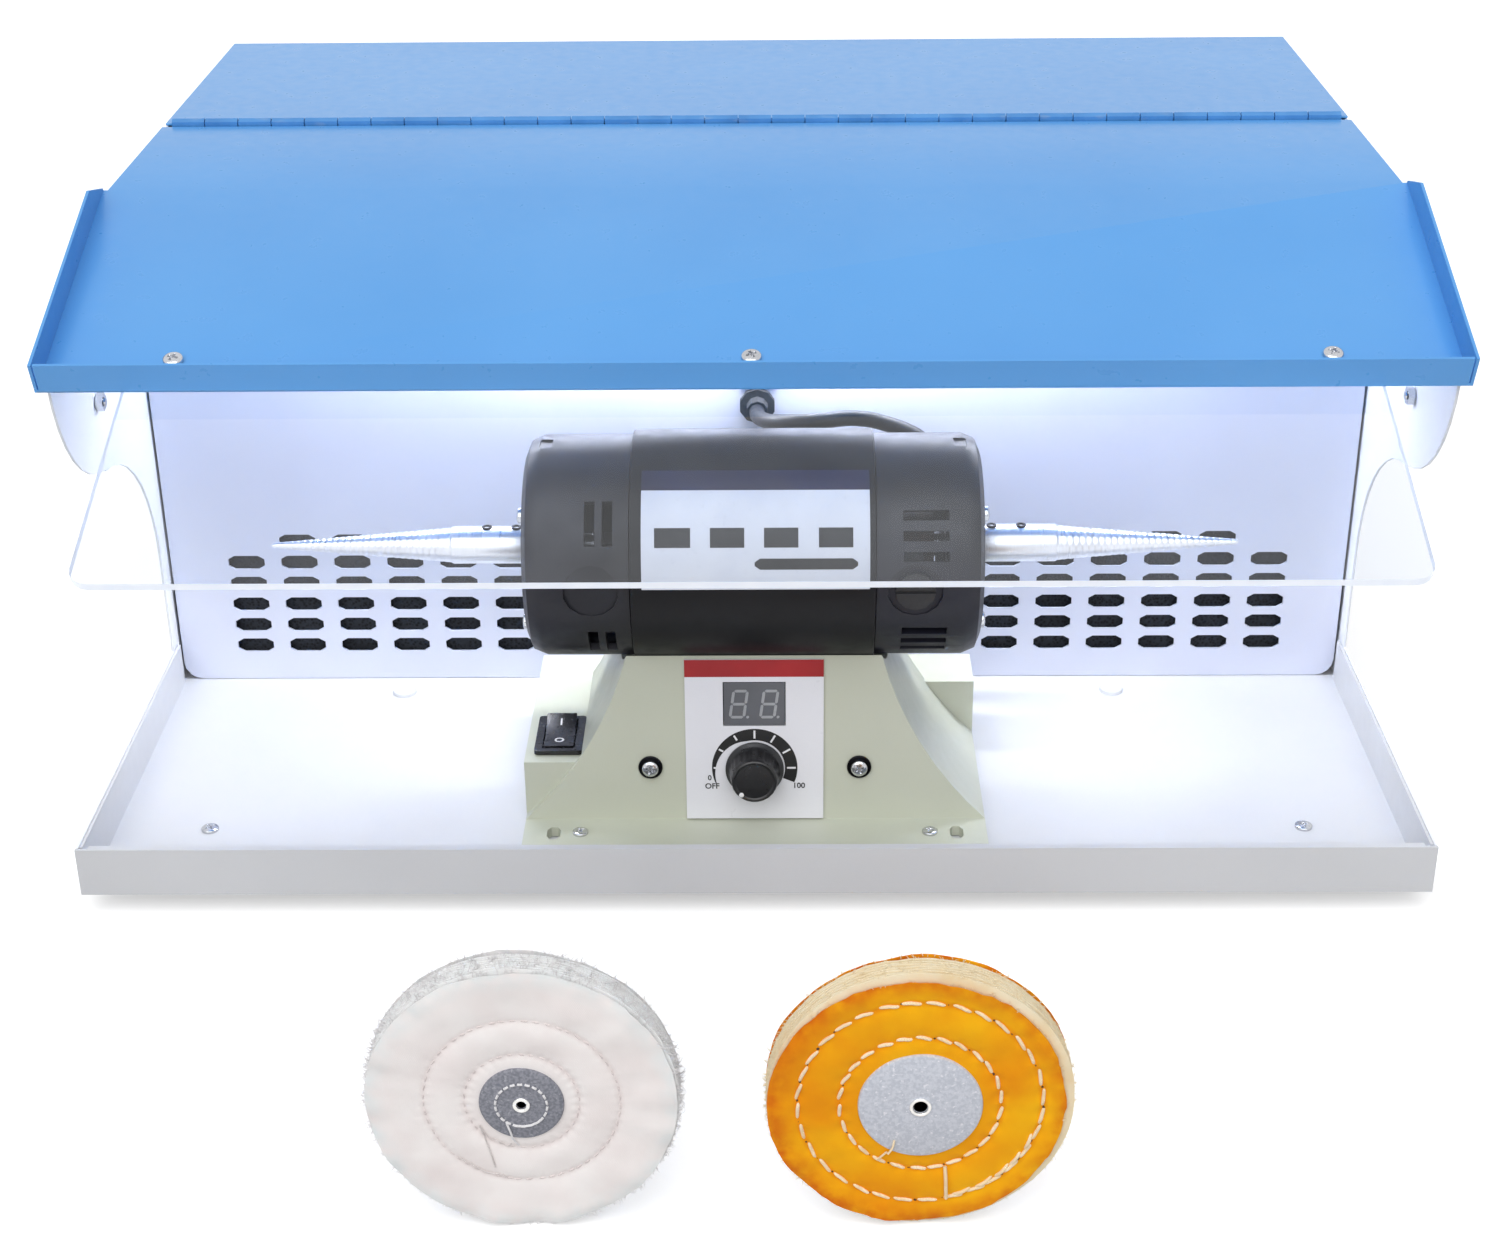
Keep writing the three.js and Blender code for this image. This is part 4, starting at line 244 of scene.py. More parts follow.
def metal(name, dark, light, roughness, stretch=(1, 1, 1), scratches=0.000006):
    """Worked metal with fine lines left by the tool, drawn out along the axes where stretch is small."""
    finish = Finish(name, roughness, 1.0)
    lines = finish.grain(1800, 4, stretch)
    stain = finish.band(finish.grain(60), 0.35, 0.75, 1.0, 0.86)
    finish.set(Base_Color=finish.shade(finish.blend(lines, dark, light), stain))
    finish.set(Roughness=finish.band(lines, 0.2, 0.8, roughness * 0.7, roughness * 1.4))
    finish.bump(lines, scratches)
    return finish.material


def laminated():
    """Stacked sheets seen on edge, with lacquer."""
    sheet = 0.0005
    finish = Finish("laminated_iron", 0.5, 0.7)
    edge = finish.band(finish.math("FRACT", finish.times(finish.axis("X"), 1 / sheet)), 0.75, 0.95)
    tone = finish.speckle((66, 62, 59), (88, 84, 80), 120)
    finish.set(Base_Color=finish.blend(edge, tone, (48, 46, 46)))
    finish.bump(edge, 0.00004, 0.6)
    return finish.material


def segmented_copper():
    """Commutator bars with mica between them."""
    bar_count = 24
    finish = Finish("commutator_copper", 0.5, 1.0)
    split = finish.node("ShaderNodeSeparateXYZ", {0: finish.facing}).outputs
    angle = finish.math("ARCTAN2", split["Z"], split["Y"])
    bars = finish.math("FRACT", finish.times(angle, bar_count / math.tau))
    gap = finish.band(finish.off(bars, 0.5), 0.4, 0.47)
    copper = finish.speckle((42, 31, 27), (58, 42, 35), 300)
    finish.set(Base_Color=finish.blend(gap, copper, (42, 34, 30)))
    finish.bump(gap, 0.0001, 0.5)
    return finish.material


def filter_foam():
    """Open foam of the dust filter, with painted shade in the middle of its pores."""
    finish = Finish("filter_foam", 0.95)
    cells = finish.node("ShaderNodeTexVoronoi", {"Vector": finish.place, "Scale": 650.0}).outputs[0]
    tone = finish.speckle((40, 43, 50), (58, 62, 70), 30)
    # Painted shade: the pore centres go dark.
    finish.set(Base_Color=finish.blend(finish.band(cells, 0.0, 0.6), (16, 17, 20), tone))
    finish.bump(cells, 0.0005)
    return finish.material


def clear_sheet():
    """Acrylic sheet: clear on its faces; along its cut edges solid, pale and glowing, as painted light."""
    finish = Finish("clear_acrylic", 0.06)

    def mix(factor, a, b):
        return finish.node("ShaderNodeMixShader", {0: factor, 1: a, 2: b}).outputs[0]

    slope = math.radians(FLAP_SLOPE)
    across = finish.node("ShaderNodeVectorMath", {
        0: finish.facing, 1: (0, -math.sin(slope), math.cos(slope))}, operation="DOT_PRODUCT").outputs["Value"]
    # Mask of the cut edges, where the sheet turns solid and pale: painted light.
    edge = finish.band(finish.math("ABSOLUTE", across), 0.45, 0.55, 1.0, 0.0)
    clear = finish.node("ShaderNodeBsdfTransparent", {"Color": linear((247, 249, 252))}).outputs[0]
    smear = finish.band(finish.grain(14, 4), 0.4, 0.8, 0.02, 0.09)
    gloss = finish.node("ShaderNodeBsdfGlossy", {"Color": linear((255, 255, 255)), "Roughness": smear}).outputs[0]
    fresnel = finish.node("ShaderNodeFresnel", {"IOR": 1.49}).outputs[0]
    backfacing = finish.node("ShaderNodeNewGeometry").outputs["Backfacing"]
    mirror = finish.times(fresnel, finish.math("SUBTRACT", 1.0, backfacing))
    solid = finish.shader.outputs[0]
    veil = mix(finish.band(finish.grain(30, 3), 0.3, 0.8, 0.006, 0.028), mix(mirror, clear, gloss), solid)
    finish.set(Base_Color=finish.speckle((236, 242, 252), (246, 250, 255), 200), Roughness=0.15)
    # Painted glow along the cut edges.
    finish.set(Emission_Color=linear((226, 236, 255)), Emission_Strength=finish.times(edge, 0.25))
    finish.feed(finish.output.inputs[0], mix(edge, veil, solid))
    return finish.material


LAMP_CENTRE = 0.105


def lit_lens():
    """Diffuser of the lamp, brightest over the two rows of diodes behind it."""
    diode_pitch = 0.0085
    finish = Finish("lamp_diffuser", 0.4)
    x = finish.axis("X")
    glow = finish.band(finish.off(finish.math("ABSOLUTE", x), LAMP_CENTRE), 0.02, 0.11, 16.0, 4.0)
    glow = finish.times(glow, finish.band(finish.wave(x, diode_pitch), -1.0, 1.0, 0.8, 1.1))
    finish.set(Base_Color=finish.speckle((236, 240, 250), (246, 248, 255), 80))
    finish.set(Emission_Color=linear((240, 243, 255)), Emission_Strength=glow)
    return finish.material


def woven(name, dark, light, mottle_and_seam_shadow, sheen, centre, rings, radius, rim_tone):
    """Plain woven cotton disc: crossing threads, nap, darker soft patches at random, painted shadow along the seam
    rings and a tone of its own near the rim.
    """
    weave_pitch = 0.0006
    finish = Finish(name, 0.92)
    weave = finish.times(finish.wave(finish.axis("X"), weave_pitch), finish.wave(finish.axis("Z"), weave_pitch))
    tone = finish.speckle(dark, light, 55, 0.3, 0.7)
    # Soft patches at random, blended towards the darker tone.
    shade = finish.band(finish.grain(30, 6), 0.42, 0.68)
    tone = finish.blend(finish.times(shade, 0.7), tone, mottle_and_seam_shadow)
    flat = finish.node("ShaderNodeVectorMath", {0: finish.place, 1: (1, 0, 1)}, operation="MULTIPLY").outputs[0]
    middle = (centre[0] * MM, 0, centre[1] * MM)
    apart = finish.node("ShaderNodeVectorMath", {0: flat, 1: middle}, operation="DISTANCE").outputs["Value"]
    patchy = finish.band(finish.grain(130), 0.3, 0.6, 0.25, 0.8)
    # Painted shadow along each seam ring: darker within a millimetre or so of it.
    for ring_radius in rings:
        seam_shadow = finish.band(finish.off(apart, ring_radius * MM), 0.0003, 0.0017, 1.0, 0.0)
        tone = finish.blend(finish.times(seam_shadow, patchy), tone, mottle_and_seam_shadow)
    # A band of its own tone near the rim.
    rim_band = finish.band(apart, (radius - 8) * MM, (radius - 1.5) * MM)
    rim_band = finish.times(rim_band, finish.band(finish.grain(150, 5), 0.3, 0.62))
    tone = finish.blend(rim_band, tone, rim_tone)
    tone = finish.shade(tone, finish.band(weave, -1.0, 1.0, 0.93, 1.0))
    finish.set(Base_Color=tone, Sheen_Weight=sheen, Sheen_Roughness=0.5, Specular_IOR_Level=0.2)
    finish.bump(finish.grain(90, 5), 0.0012, 0.4).bump(weave, 0.00006, 0.6)
    finish.bump(finish.grain(2400, 3), 0.0001, 0.5)
    return finish.material


def fibre_board(name, dark, light, fleck, scale):
    """Pressed fibre disc with flecks."""
    finish = Finish(name, 0.8)
    tone = finish.speckle(dark, light, scale, 0.4, 0.6)
    flecks = finish.band(finish.grain(scale * 0.8, 5), 0.6, 0.68)
    finish.set(Base_Color=finish.blend(flecks, tone, fleck), Specular_IOR_Level=0.2)
    finish.bump(finish.grain(scale, 4), 0.0002, 0.5)
    return finish.material


def twisted_thread(name, dark, light):
    """Cotton thread with its twist."""
    twist_pitch = 0.0009
    finish = Finish(name, 0.85)
    twist = finish.wave(finish.math("ADD", finish.axis("X"), finish.axis("Z")), twist_pitch)
    tone = finish.speckle(dark, light, 240)
    finish.set(Base_Color=finish.blend(finish.band(twist, -1.0, 1.0, 0.0, 0.35), tone, dark), Sheen_Weight=0.3)
    finish.bump(twist, 0.00008, 0.8)
    return finish.material


def painted_hinge():
    """Blue paint on a steel hinge, paler in patches that are partly rubbed paint and partly painted highlight."""
    finish = Finish("painted_hinge", 0.32)
    # Pale patches: partly rubbed paint, partly painted highlight.
    rubbed_and_highlight = finish.band(finish.grain(260, 4, (0.3, 1, 1)), 0.6, 0.74, 0.0, 0.3)
    paint = finish.speckle((66, 130, 194), (80, 146, 210), 60)
    finish.set(Base_Color=finish.blend(rubbed_and_highlight, paint, (150, 170, 196)))
    finish.bump(rubbed_and_highlight, 0.00004).bump(finish.grain(1500, 2), 0.00002)
    return finish.material


ALONG_X = (0.02, 1, 1)
ROUND_X = (1, 0.05, 0.05)

WHITE_PAINT = powder_paint("white_powder_coat", (232, 234, 238), (239, 240, 243), 0.34)
# The white coat made darker for the tray: painted shade.
SHADED_TRAY_PAINT = powder_paint("tray_coat_with_painted_shade", (202, 203, 206), (209, 210, 213), 0.36)
BLUE_PAINT = powder_paint("blue_powder_coat", (84, 158, 226), (90, 163, 230), 0.32, 0.12)
PANEL_PAINT = powder_paint("pale_panel_coat", (214, 218, 236), (222, 226, 242), 0.38)
CAST_PAINT = powder_paint("beige_casting_paint", (190, 193, 176), (199, 202, 186), 0.42, 0.1, 0.00003)
ENAMEL = powder_paint("black_enamel", (12, 12, 15), (19, 19, 23), 0.42, 0.0, 0.00001, 0.24)
CAST_ENAMEL = powder_paint("black_enamel_on_casting", (14, 14, 20), (29, 30, 45), 0.45, 0.0, 0.00003, 0.4)
PLATE = powder_paint("satin_plate", (226, 226, 232), (234, 234, 239), 0.32)
SHAFT_STEEL = metal("ground_steel", (170, 172, 176), (205, 206, 210), 0.22, ROUND_X)
BRIGHT_STEEL = metal("plated_screw", (176, 178, 182), (226, 227, 230), 0.18)
SPINDLE_STEEL = metal("turned_spindle", (222, 224, 230), (246, 247, 251), 0.32, ROUND_X, 0.000002)
ALUMINIUM = metal("lamp_aluminium", (196, 198, 202), (222, 224, 228), 0.35, ALONG_X)
DARK_STEEL = metal("black_steel", (18, 18, 20), (34, 34, 38), 0.35)
EYELET = metal("eyelet_metal", (214, 213, 210), (242, 241, 238), 0.3)
MATT_PLASTIC = moulded("matt_black_plastic", (24, 24, 27), (32, 32, 35), 0.5)
GLOSS_PLASTIC = moulded("gloss_black_plastic", (15, 15, 18), (22, 22, 26), 0.24, 0.000008)
KNOB_PLASTIC = moulded("knob_plastic", (13, 13, 15), (24, 24, 27), 0.32)
RUBBER = moulded("black_rubber", (24, 24, 26), (38, 38, 41), 0.7, 0.00004)
LEAD_SHEATH = moulded("lead_sheath", (14, 15, 20), (30, 31, 40), 0.5, 0.00003)
# Painted shade of the needle holes in the yellow cloth.
NEEDLE_HOLE_SHADE = moulded("needle_hole_shade", (58, 32, 12), (84, 48, 18), 0.8)
PRINT_BLACK = moulded("black_print", (12, 12, 14), (20, 20, 22), 0.5)
PRINT_WHITE = moulded("white_print", (226, 226, 230), (238, 238, 240), 0.4)
PRINT_RED = moulded("red_strip", (150, 24, 30), (168, 32, 38), 0.35)
PRINT_NAVY = moulded("navy_label", (14, 17, 54), (20, 24, 66), 0.42)
PRINT_PALE = moulded("pale_label", (222, 226, 236), (234, 237, 244), 0.32)
SEGMENT_GREY = moulded("unlit_segments", (150, 152, 156), (164, 166, 170), 0.3)
DISPLAY_FACE = moulded("display_face", (84, 86, 92), (96, 98, 104), 0.18, 0.000004)
BOARD = moulded("circuit_board", (24, 84, 52), (36, 104, 66), 0.4)
HINGE_PAINT = painted_hinge()
ACRYLIC = clear_sheet()
LENS = lit_lens()
LAMINATE = laminated()
COPPER = segmented_copper()
FOAM = filter_foam()
# The third colour of each cloth is the darker tone of its random patches and of the painted shadow along its seam
# rings.
WHITE_CLOTH = woven(
    "white_muslin", (248, 240, 238), (254, 250, 248), (237, 226, 224), 0.1,
    WHITE_CENTRE, WHITE_RINGS, 51.5, (238, 241, 241))
WHITE_RIM = woven(
    "white_muslin_edge", (250, 248, 247), (255, 254, 253), (236, 235, 234), 0.1,
    WHITE_CENTRE, (), 51.5, (248, 250, 250))
YELLOW_CLOTH = woven(
    "yellow_muslin", (250, 170, 7), (255, 188, 15), (238, 138, 4), 0.04,
    YELLOW_CENTRE, YELLOW_RINGS, 49.5, (222, 112, 6))
RAW_EDGE = woven(
    "raw_cloth_edge", (246, 226, 184), (254, 243, 216), (240, 200, 130), 0.1,
    YELLOW_CENTRE, (), 50.5, (250, 236, 204))
WHITE_FIBRE = twisted_thread("white_fibre", (222, 219, 220), (242, 240, 240))
CREAM_FIBRE = twisted_thread("cream_fibre", (236, 214, 170), (250, 236, 206))
STITCH_CREAM = twisted_thread("cream_stitching", (242, 216, 172), (253, 236, 204))
STITCH_WHITE = twisted_thread("white_stitching", (226, 224, 226), (244, 243, 244))
STITCH_PALE = twisted_thread("pale_stitching", (214, 203, 201), (230, 221, 218))
STITCH_GREY = twisted_thread("loose_thread", (206, 198, 195), (226, 220, 218))
GREY_BOARD = fibre_board("grey_fibre_board", (122, 124, 133), (146, 147, 156), (166, 167, 175), 1000)
PALE_BOARD = fibre_board("pale_fibre_board", (191, 195, 205), (207, 210, 219), (228, 228, 235), 900)


# CAD nodes keep their shape: a fine edge rounding, smooth shading and a finish each
SHARP_ANGLE = 32
ROUNDED_ANGLE = 34
FLAT_ANGLE = 0.6
JOIN_DISTANCE = 0.000001


def smooth_group():
    """Joins touching corners, then shades smooth all but the sharper edges."""
    group = bpy.data.node_groups.new("smooth_by_angle", "GeometryNodeTree")
    for way in ("INPUT", "OUTPUT"):
        group.interface.new_socket("Geometry", in_out=way, socket_type="NodeSocketGeometry")
    tree = Tree(group)
    angle = tree.node("GeometryNodeInputMeshEdgeAngle").outputs["Unsigned Angle"]
    sharp = tree.node(
        "FunctionNodeCompare", {0: angle, 1: math.radians(SHARP_ANGLE)},
        data_type="FLOAT", operation="GREATER_THAN").outputs[0]
    mesh = tree.node("NodeGroupInput").outputs[0]
    for kind, inputs, settings in (
            ("RemoveAttribute", {"Name": "custom_normal"}, {}),
            ("MergeByDistance", {"Distance": JOIN_DISTANCE}, {}),
            ("SetShadeSmooth", {}, {"domain": "FACE"}),
            ("SetShadeSmooth", {}, {"domain": "EDGE"}),
            ("SetShadeSmooth", {"Selection": sharp, "Shade Smooth": False}, {"domain": "EDGE"})):
        mesh = tree.node("GeometryNode" + kind, {0: mesh, **inputs}, **settings).outputs[0]
    tree.node("NodeGroupOutput", {0: mesh})
    return group


SMOOTH = smooth_group()


def smoothed(piece, name="smooth"):
    piece.modifiers.new(name, "NODES").node_group = SMOOTH


def round_edges(piece, width):
    smoothed(piece, "joined")
    if width:
        flat = piece.modifiers.new("flat_faces", "DECIMATE")
        flat.decimate_type = "DISSOLVE"
        flat.angle_limit = math.radians(FLAT_ANGLE)
        bevel = piece.modifiers.new("rounded", "BEVEL")
        bevel.width = width * MM
        bevel.segments = 2
        bevel.limit_method = "ANGLE"
        bevel.angle_limit = math.radians(ROUNDED_ANGLE)
    smoothed(piece)
    piece.modifiers.new("weighted", "WEIGHTED_NORMAL").keep_sharp = True


# Finish, width of the rounded edges and nodes
FINISHES = (
    (SHADED_TRAY_PAINT, 0.35, "base_tray"),
    (WHITE_PAINT, 0.35, "left_side_panel right_side_panel"),
    (WHITE_PAINT, 0.3, "rear_wall"),
    (BLUE_PAINT, 0.4, "hood_rear_panel hood_flap"),
    (HINGE_PAINT, 0, "hinge_leaf_fixed hinge_leaf_moving hinge_pin"),
    (PANEL_PAINT, 0, "grille_panel"),
    (FOAM, 0.6, "filter_mat"),
    (ACRYLIC, 0, "clear_shield"),
    (MATT_PLASTIC, 0.3, "fan_frame_left fan_frame_right brush_front brush_rear"),
    (MATT_PLASTIC, 0.2, "fan_rotor_left fan_rotor_right power_inlet cooling_fan"),
    (ALUMINIUM, 0.3, "lamp_channel"),
    (LENS, 0.3, "lamp_lens"),
    (CAST_PAINT, 0.8, "pedestal"),
    (GLOSS_PLASTIC, 0.4, "switch_body switch_rocker"),
    (PLATE, 0.15, "control_plate"),
    (DISPLAY_FACE, 0.2, "digital_display"),
    (BOARD, 0, "control_board"),
    (ENAMEL, 0.5, "motor_can"),
    (CAST_ENAMEL, 0.4, "left_end_bell right_end_bell"),
    (SHAFT_STEEL, 0.3, "bearing_left bearing_right motor_shaft cable_clip"),
    (LAMINATE, 0, "stator_core armature"),
    (COPPER, 0, "commutator"),
    (RUBBER, 0.5, "panel_grommet"),
    (RUBBER, 0.4, "lead_gland"),
    (RUBBER, 0.6, "rubber_foot_front_left rubber_foot_front_right rubber_foot_rear_left rubber_foot_rear_right"),
)

for finish_material, edge_width, node_names in FINISHES:
    for node_name in node_names.split():
        for material_slot in nodes[node_name].material_slots:
            material_slot.material = finish_material
        round_edges(nodes[node_name], edge_width)


# Building pieces


def circle(radius, sides):
    return [(radius * math.cos(math.tau * j / sides), radius * math.sin(math.tau * j / sides)) for j in range(sides)]


def ring(radius, height, sides):
    return [(x, y, height) for x, y in circle(radius, sides)]


class Shape:
    """Corners and faces of a piece, in millimetres, gathered from several forms."""

    def __init__(self):
        self.corners = []
        self.faces = []

    def add(self, corners, faces, matrix=None):
        start = len(self.corners)
        matrix = matrix or Matrix()
        self.corners += [matrix @ Vector(corner) for corner in corners]
        self.faces += [[start + index for index in face] for face in faces]
        return self

    def skin(self, rows, closed=False, matrix=None):
        """Faces between neighbouring rows of points; closed joins each row's end to its start."""
        width = len(rows[0])
        faces = []
        for i in range(len(rows) - 1):
            for j in range(width if closed else width - 1):
                k = (j + 1) % width
                faces.append([i * width + j, i * width + k, (i + 1) * width + k, (i + 1) * width + j])
        return self.add([point for row in rows for point in row], faces, matrix)

    def solid(self, rows, matrix=None):
        """Closed body from rows that each go round it, with a flat face over the first and the last."""
        start, count = len(self.corners), len(rows[0])
        self.skin(rows, True, matrix)
        end = len(self.corners)
        self.faces += [list(reversed(range(start, start + count))), list(range(end - count, end))]
        return self

    def lathe(self, profile, sides, matrix=None):
        """Closed form turned about +Z from (radius, height) points that start and end on the axis."""
        inner = profile[1:-1]
        self.skin([ring(radius, height, sides) for radius, height in inner], True, matrix)
        first = len(self.corners) - len(inner) * sides
        last = len(self.corners) - sides
        low = len(self.corners)
        self.add([(0, 0, profile[0][1]), (0, 0, profile[-1][1])], [], matrix)
        for j in range(sides):
            k = (j + 1) % sides
            self.faces.append([low, first + k, first + j])
            self.faces.append([low + 1, last + j, last + k])
        return self

    def tube(self, points, radius, sides=8):
        """Round tube along points, with flat ends; radius is a number or one for each point."""
        points = [Vector(point) for point in points]
        radii = radius if hasattr(radius, "__len__") else [radius] * len(points)
        side = None
        rows = []
        for i, point in enumerate(points):
            ahead = points[min(i + 1, len(points) - 1)] - points[max(i - 1, 0)]
            ahead.normalize()
            if side is None:
                helper = Vector((0, 0, 1)) if abs(ahead.z) < 0.9 else Vector((0, 1, 0))
                side = ahead.cross(helper).normalized()
            side = (side - ahead * side.dot(ahead)).normalized()
            other = ahead.cross(side)
            rows.append([point + (side * x + other * y) * radii[i] for x, y in circle(1, sides)])
        return self.solid(rows)

    def plate(self, outline, low, high, matrix=None):
        """Flat plate from an outline in X and Y between two heights."""
        count = len(outline)
        corners = [(a, b, low) for a, b in outline] + [(a, b, high) for a, b in outline]
        faces = [list(reversed(range(count))), [count + j for j in range(count)]]
        for j in range(count):
            k = (j + 1) % count
            faces.append([j, k, count + k, count + j])
        return self.add(corners, faces, matrix)


def make(name, shape, material, matrix=None, body="root", smooth=True):
    """One piece of the object from a shape, put in place and riding on a body."""
    mesh = bpy.data.meshes.new(name)
    corners = [matrix @ corner for corner in shape.corners] if matrix else shape.corners
    mesh.from_pydata(corners, [], shape.faces)
    mesh.validate()
    piece = put(name, mesh)
    if smooth:
        smoothed(piece)
    return dress(piece, material, body)


def lettering(name, words, size, matrix, material, body="root"):
    """Print 0.06 mm thick, with the plane of matrix halfway through it."""
    curve = bpy.data.curves.new(name + "_outline", "FONT")
    curve.body = words
    curve.size = size
    curve.align_x = "CENTER"
    curve.align_y = "CENTER"
    curve.extrude = 0.03
    curve.offset = 0.02 * size
    curve.resolution_u = 4
    text = put(name + "_outline", curve)
    bpy.context.view_layer.update()
    mesh = bpy.data.meshes.new_from_object(text)
    bpy.data.objects.remove(text)
    mesh.transform(matrix)
    mesh.name = name
    mesh.materials.clear()
    dress(put(name, mesh), material, body)


# Motor lead along its route, from the grommet to the gland on the pedestal
LEAD_ROUTE = (
    (1, 181.2, 138), (1, 174, 138), (1, 167, 138.3), (2.1, 159.6, 139.7), (4.8, 153, 141),
    (9.1, 147.3, 142.7), (14.8, 142.9, 144.4), (22.3, 139.6, 145.9), (30.7, 138.5, 146.9),
    (40.2, 139.4, 147.5), (49, 139.3, 146.8), (55.1, 139.5, 145.1), (63.5, 140.2, 141.8),
    (70.8, 141.5, 137.2), (76.1, 143, 131.9), (80.1, 144.7, 125.9), (82.7, 147.3, 119.4),
    (83.9, 150.1, 111.8), (84, 153.4, 99), (85.5, 155.5, 91.2), (86.4, 159.8, 77.9), (82.6, 162.8, 66.5),
    (77.5, 164.1, 59.8), (72, 164.6, 55.7), (65, 164.6, 52.7), (56.3, 164.3, 51.4),
    (49.8, 163, 51.5), (43.4, 160, 51.7), (38.2, 155.9, 51.8), (33.8, 150.1, 51.9), (31, 142.9, 52),
    (30, 136, 52), (30, 135.1, 52),
)
LEAD_RADIUS = 3.35


def smooth_route(route, steps):
    """Points along a centripetal Catmull-Rom curve through the route."""
    points = [Vector(point) for point in route]
    points = [points[0] * 2 - points[1], *points, points[-1] * 2 - points[-2]]
    path = []
    for i in range(1, len(points) - 2):
        before, start, end, after = points[i - 1:i + 3]
        times = [0.0]
        for a, b in ((before, start), (start, end), (end, after)):
            times.append(times[-1] + max((b - a).length ** 0.5, 1e-6))
        t0, t1, t2, t3 = times
        for step in range(steps):
            t = t1 + (t2 - t1) * step / steps
            a1 = before.lerp(start, (t - t0) / (t1 - t0))
            a2 = start.lerp(end, (t - t1) / (t2 - t1))
            a3 = end.lerp(after, (t - t2) / (t3 - t2))
            b1 = a1.lerp(a2, (t - t0) / (t2 - t0))
            b2 = a2.lerp(a3, (t - t1) / (t3 - t1))
            path.append(b1.lerp(b2, (t - t1) / (t2 - t1)))
    path.append(points[-2])
    return path


def motor_lead():
    path = [MACHINE @ point for point in smooth_route(LEAD_ROUTE, 4)]
    curve = bpy.data.curves.new("motor_lead_sheath", "CURVE")
    curve.dimensions = "3D"
    curve.bevel_depth = LEAD_RADIUS * MM
    curve.bevel_resolution = 6
    curve.use_fill_caps = True
    spline = curve.splines.new("POLY")
    spline.points.add(len(path) - 1)
    for point, place in zip(spline.points, path):
        point.co = (*place, 1)
    spline.use_smooth = True
    lead = dress(put("motor_lead_sheath", curve), LEAD_SHEATH)
    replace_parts(lead, "motor_lead")


motor_lead()


# Screws
HEAD_SIDES = 40
HEAD_SHARES = (1.0, 0.985, 0.94, 0.86, 0.76, 0.66, 0.6, 0.55, 0.5, 0.44, 0.38, 0.32, 0.26, 0.2, 0.14, 0.08, 0.02)
RIM_SHARE = 0.55
THREAD_STEP = 0.7
NUT_ACROSS = 1.72
NUT_HEIGHT = 2.8
BEYOND_NUT = 0.8


def cross_recess(x, y, radius):
    """How deep, from 0 to 1, a Phillips recess is at a place on a head."""
    near, far = sorted((abs(x), abs(y)))
    inside = (0.17 * radius - 0.1 * far - near) / (0.06 * radius)
    along = (0.56 * radius - far) / (0.08 * radius)
    return min(1, max(0, inside)) * min(1, max(0, along))


def screw_head(shape, matrix, radius, height):
    """Domed pan head with a cross recess, standing on the plane of matrix, up along +Z."""
    rows = [ring(radius, 0, HEAD_SIDES)]
    for share in HEAD_SHARES:
        crown = height * (RIM_SHARE + (1 - RIM_SHARE) * math.sqrt(max(0, 1 - share ** 2.6)))
        rows.append([
            (x, y, crown - height * 0.55 * cross_recess(x, y, radius))
            for x, y in circle(radius * share, HEAD_SIDES)])
    return shape.solid(rows, matrix)


def bolt(node, matrix, radius, height, reach, nut=True, body="root"):
    """Bolt in place of a node. Reach is what it holds between head and nut, or its length without a nut."""
    shape = screw_head(Shape(), matrix, radius, height)
    length = reach + NUT_HEIGHT + BEYOND_NUT if nut else reach
    shank = radius * 0.5
    profile = [(0, 0), (shank, 0)]
    depth = 0.0
    while depth + THREAD_STEP < length:
        for share, down in ((1, 0.2), (0.84, 0.55), (1, 0.9)):
            profile.append((shank * share, -depth - THREAD_STEP * down))
        depth += THREAD_STEP
    profile += [(shank * 0.8, -length), (0, -length)]
    shape.lathe(profile[::-1], 20, matrix)
    if nut:
        corner = radius * NUT_ACROSS / 2 / math.cos(math.pi / 6)
        shape.plate(circle(corner, 6), -reach - NUT_HEIGHT, -reach, matrix)
    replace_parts(make(f"{node}_steel", shape, BRIGHT_STEEL, body=body), node)


SHIELD_BOLT_X = 222.7
for side_name, x in (("left", -SHIELD_BOLT_X), ("middle", 0), ("right", SHIELD_BOLT_X)):
    head_place = SLOPE @ moved(x, 16.5 - 128.5, 0.3) @ turned(x + 25, "Z")
    bolt(f"shield_bolt_{side_name}", head_place, 3.9, 2.4, 5.1, body="hood")

for side_name, side in SIDES:
    head_place = MACHINE @ moved(side * 270.3, 108, 169) @ turned(side * 90, "Y") @ turned(20, "Z")
    bolt(f"side_bolt_{side_name}", head_place, 3.9, 2.4, 1.8)
    head_place = on_plate(side * 43, 24, 0.0)
    washer = Shape().lathe(
        [(0, 0), (5, 0), (5, 0.7), (4.6, 1.0), (3.9, 1.0), (0, 1.0)], 40, head_place @ moved(0, 0, -1))
    make(f"face_washer_{side_name}", washer, DARK_STEEL)
    bolt(f"face_screw_{side_name}", head_place @ turned(side * 18, "Z"), 3.4, 2.2, 9, False)

# Heads of the small fasteners that stay outside the solid model


def small_screw(name, place, spin, radius, height):
    make(name, screw_head(Shape(), place @ turned(spin, "Z"), radius, height), BRIGHT_STEEL)


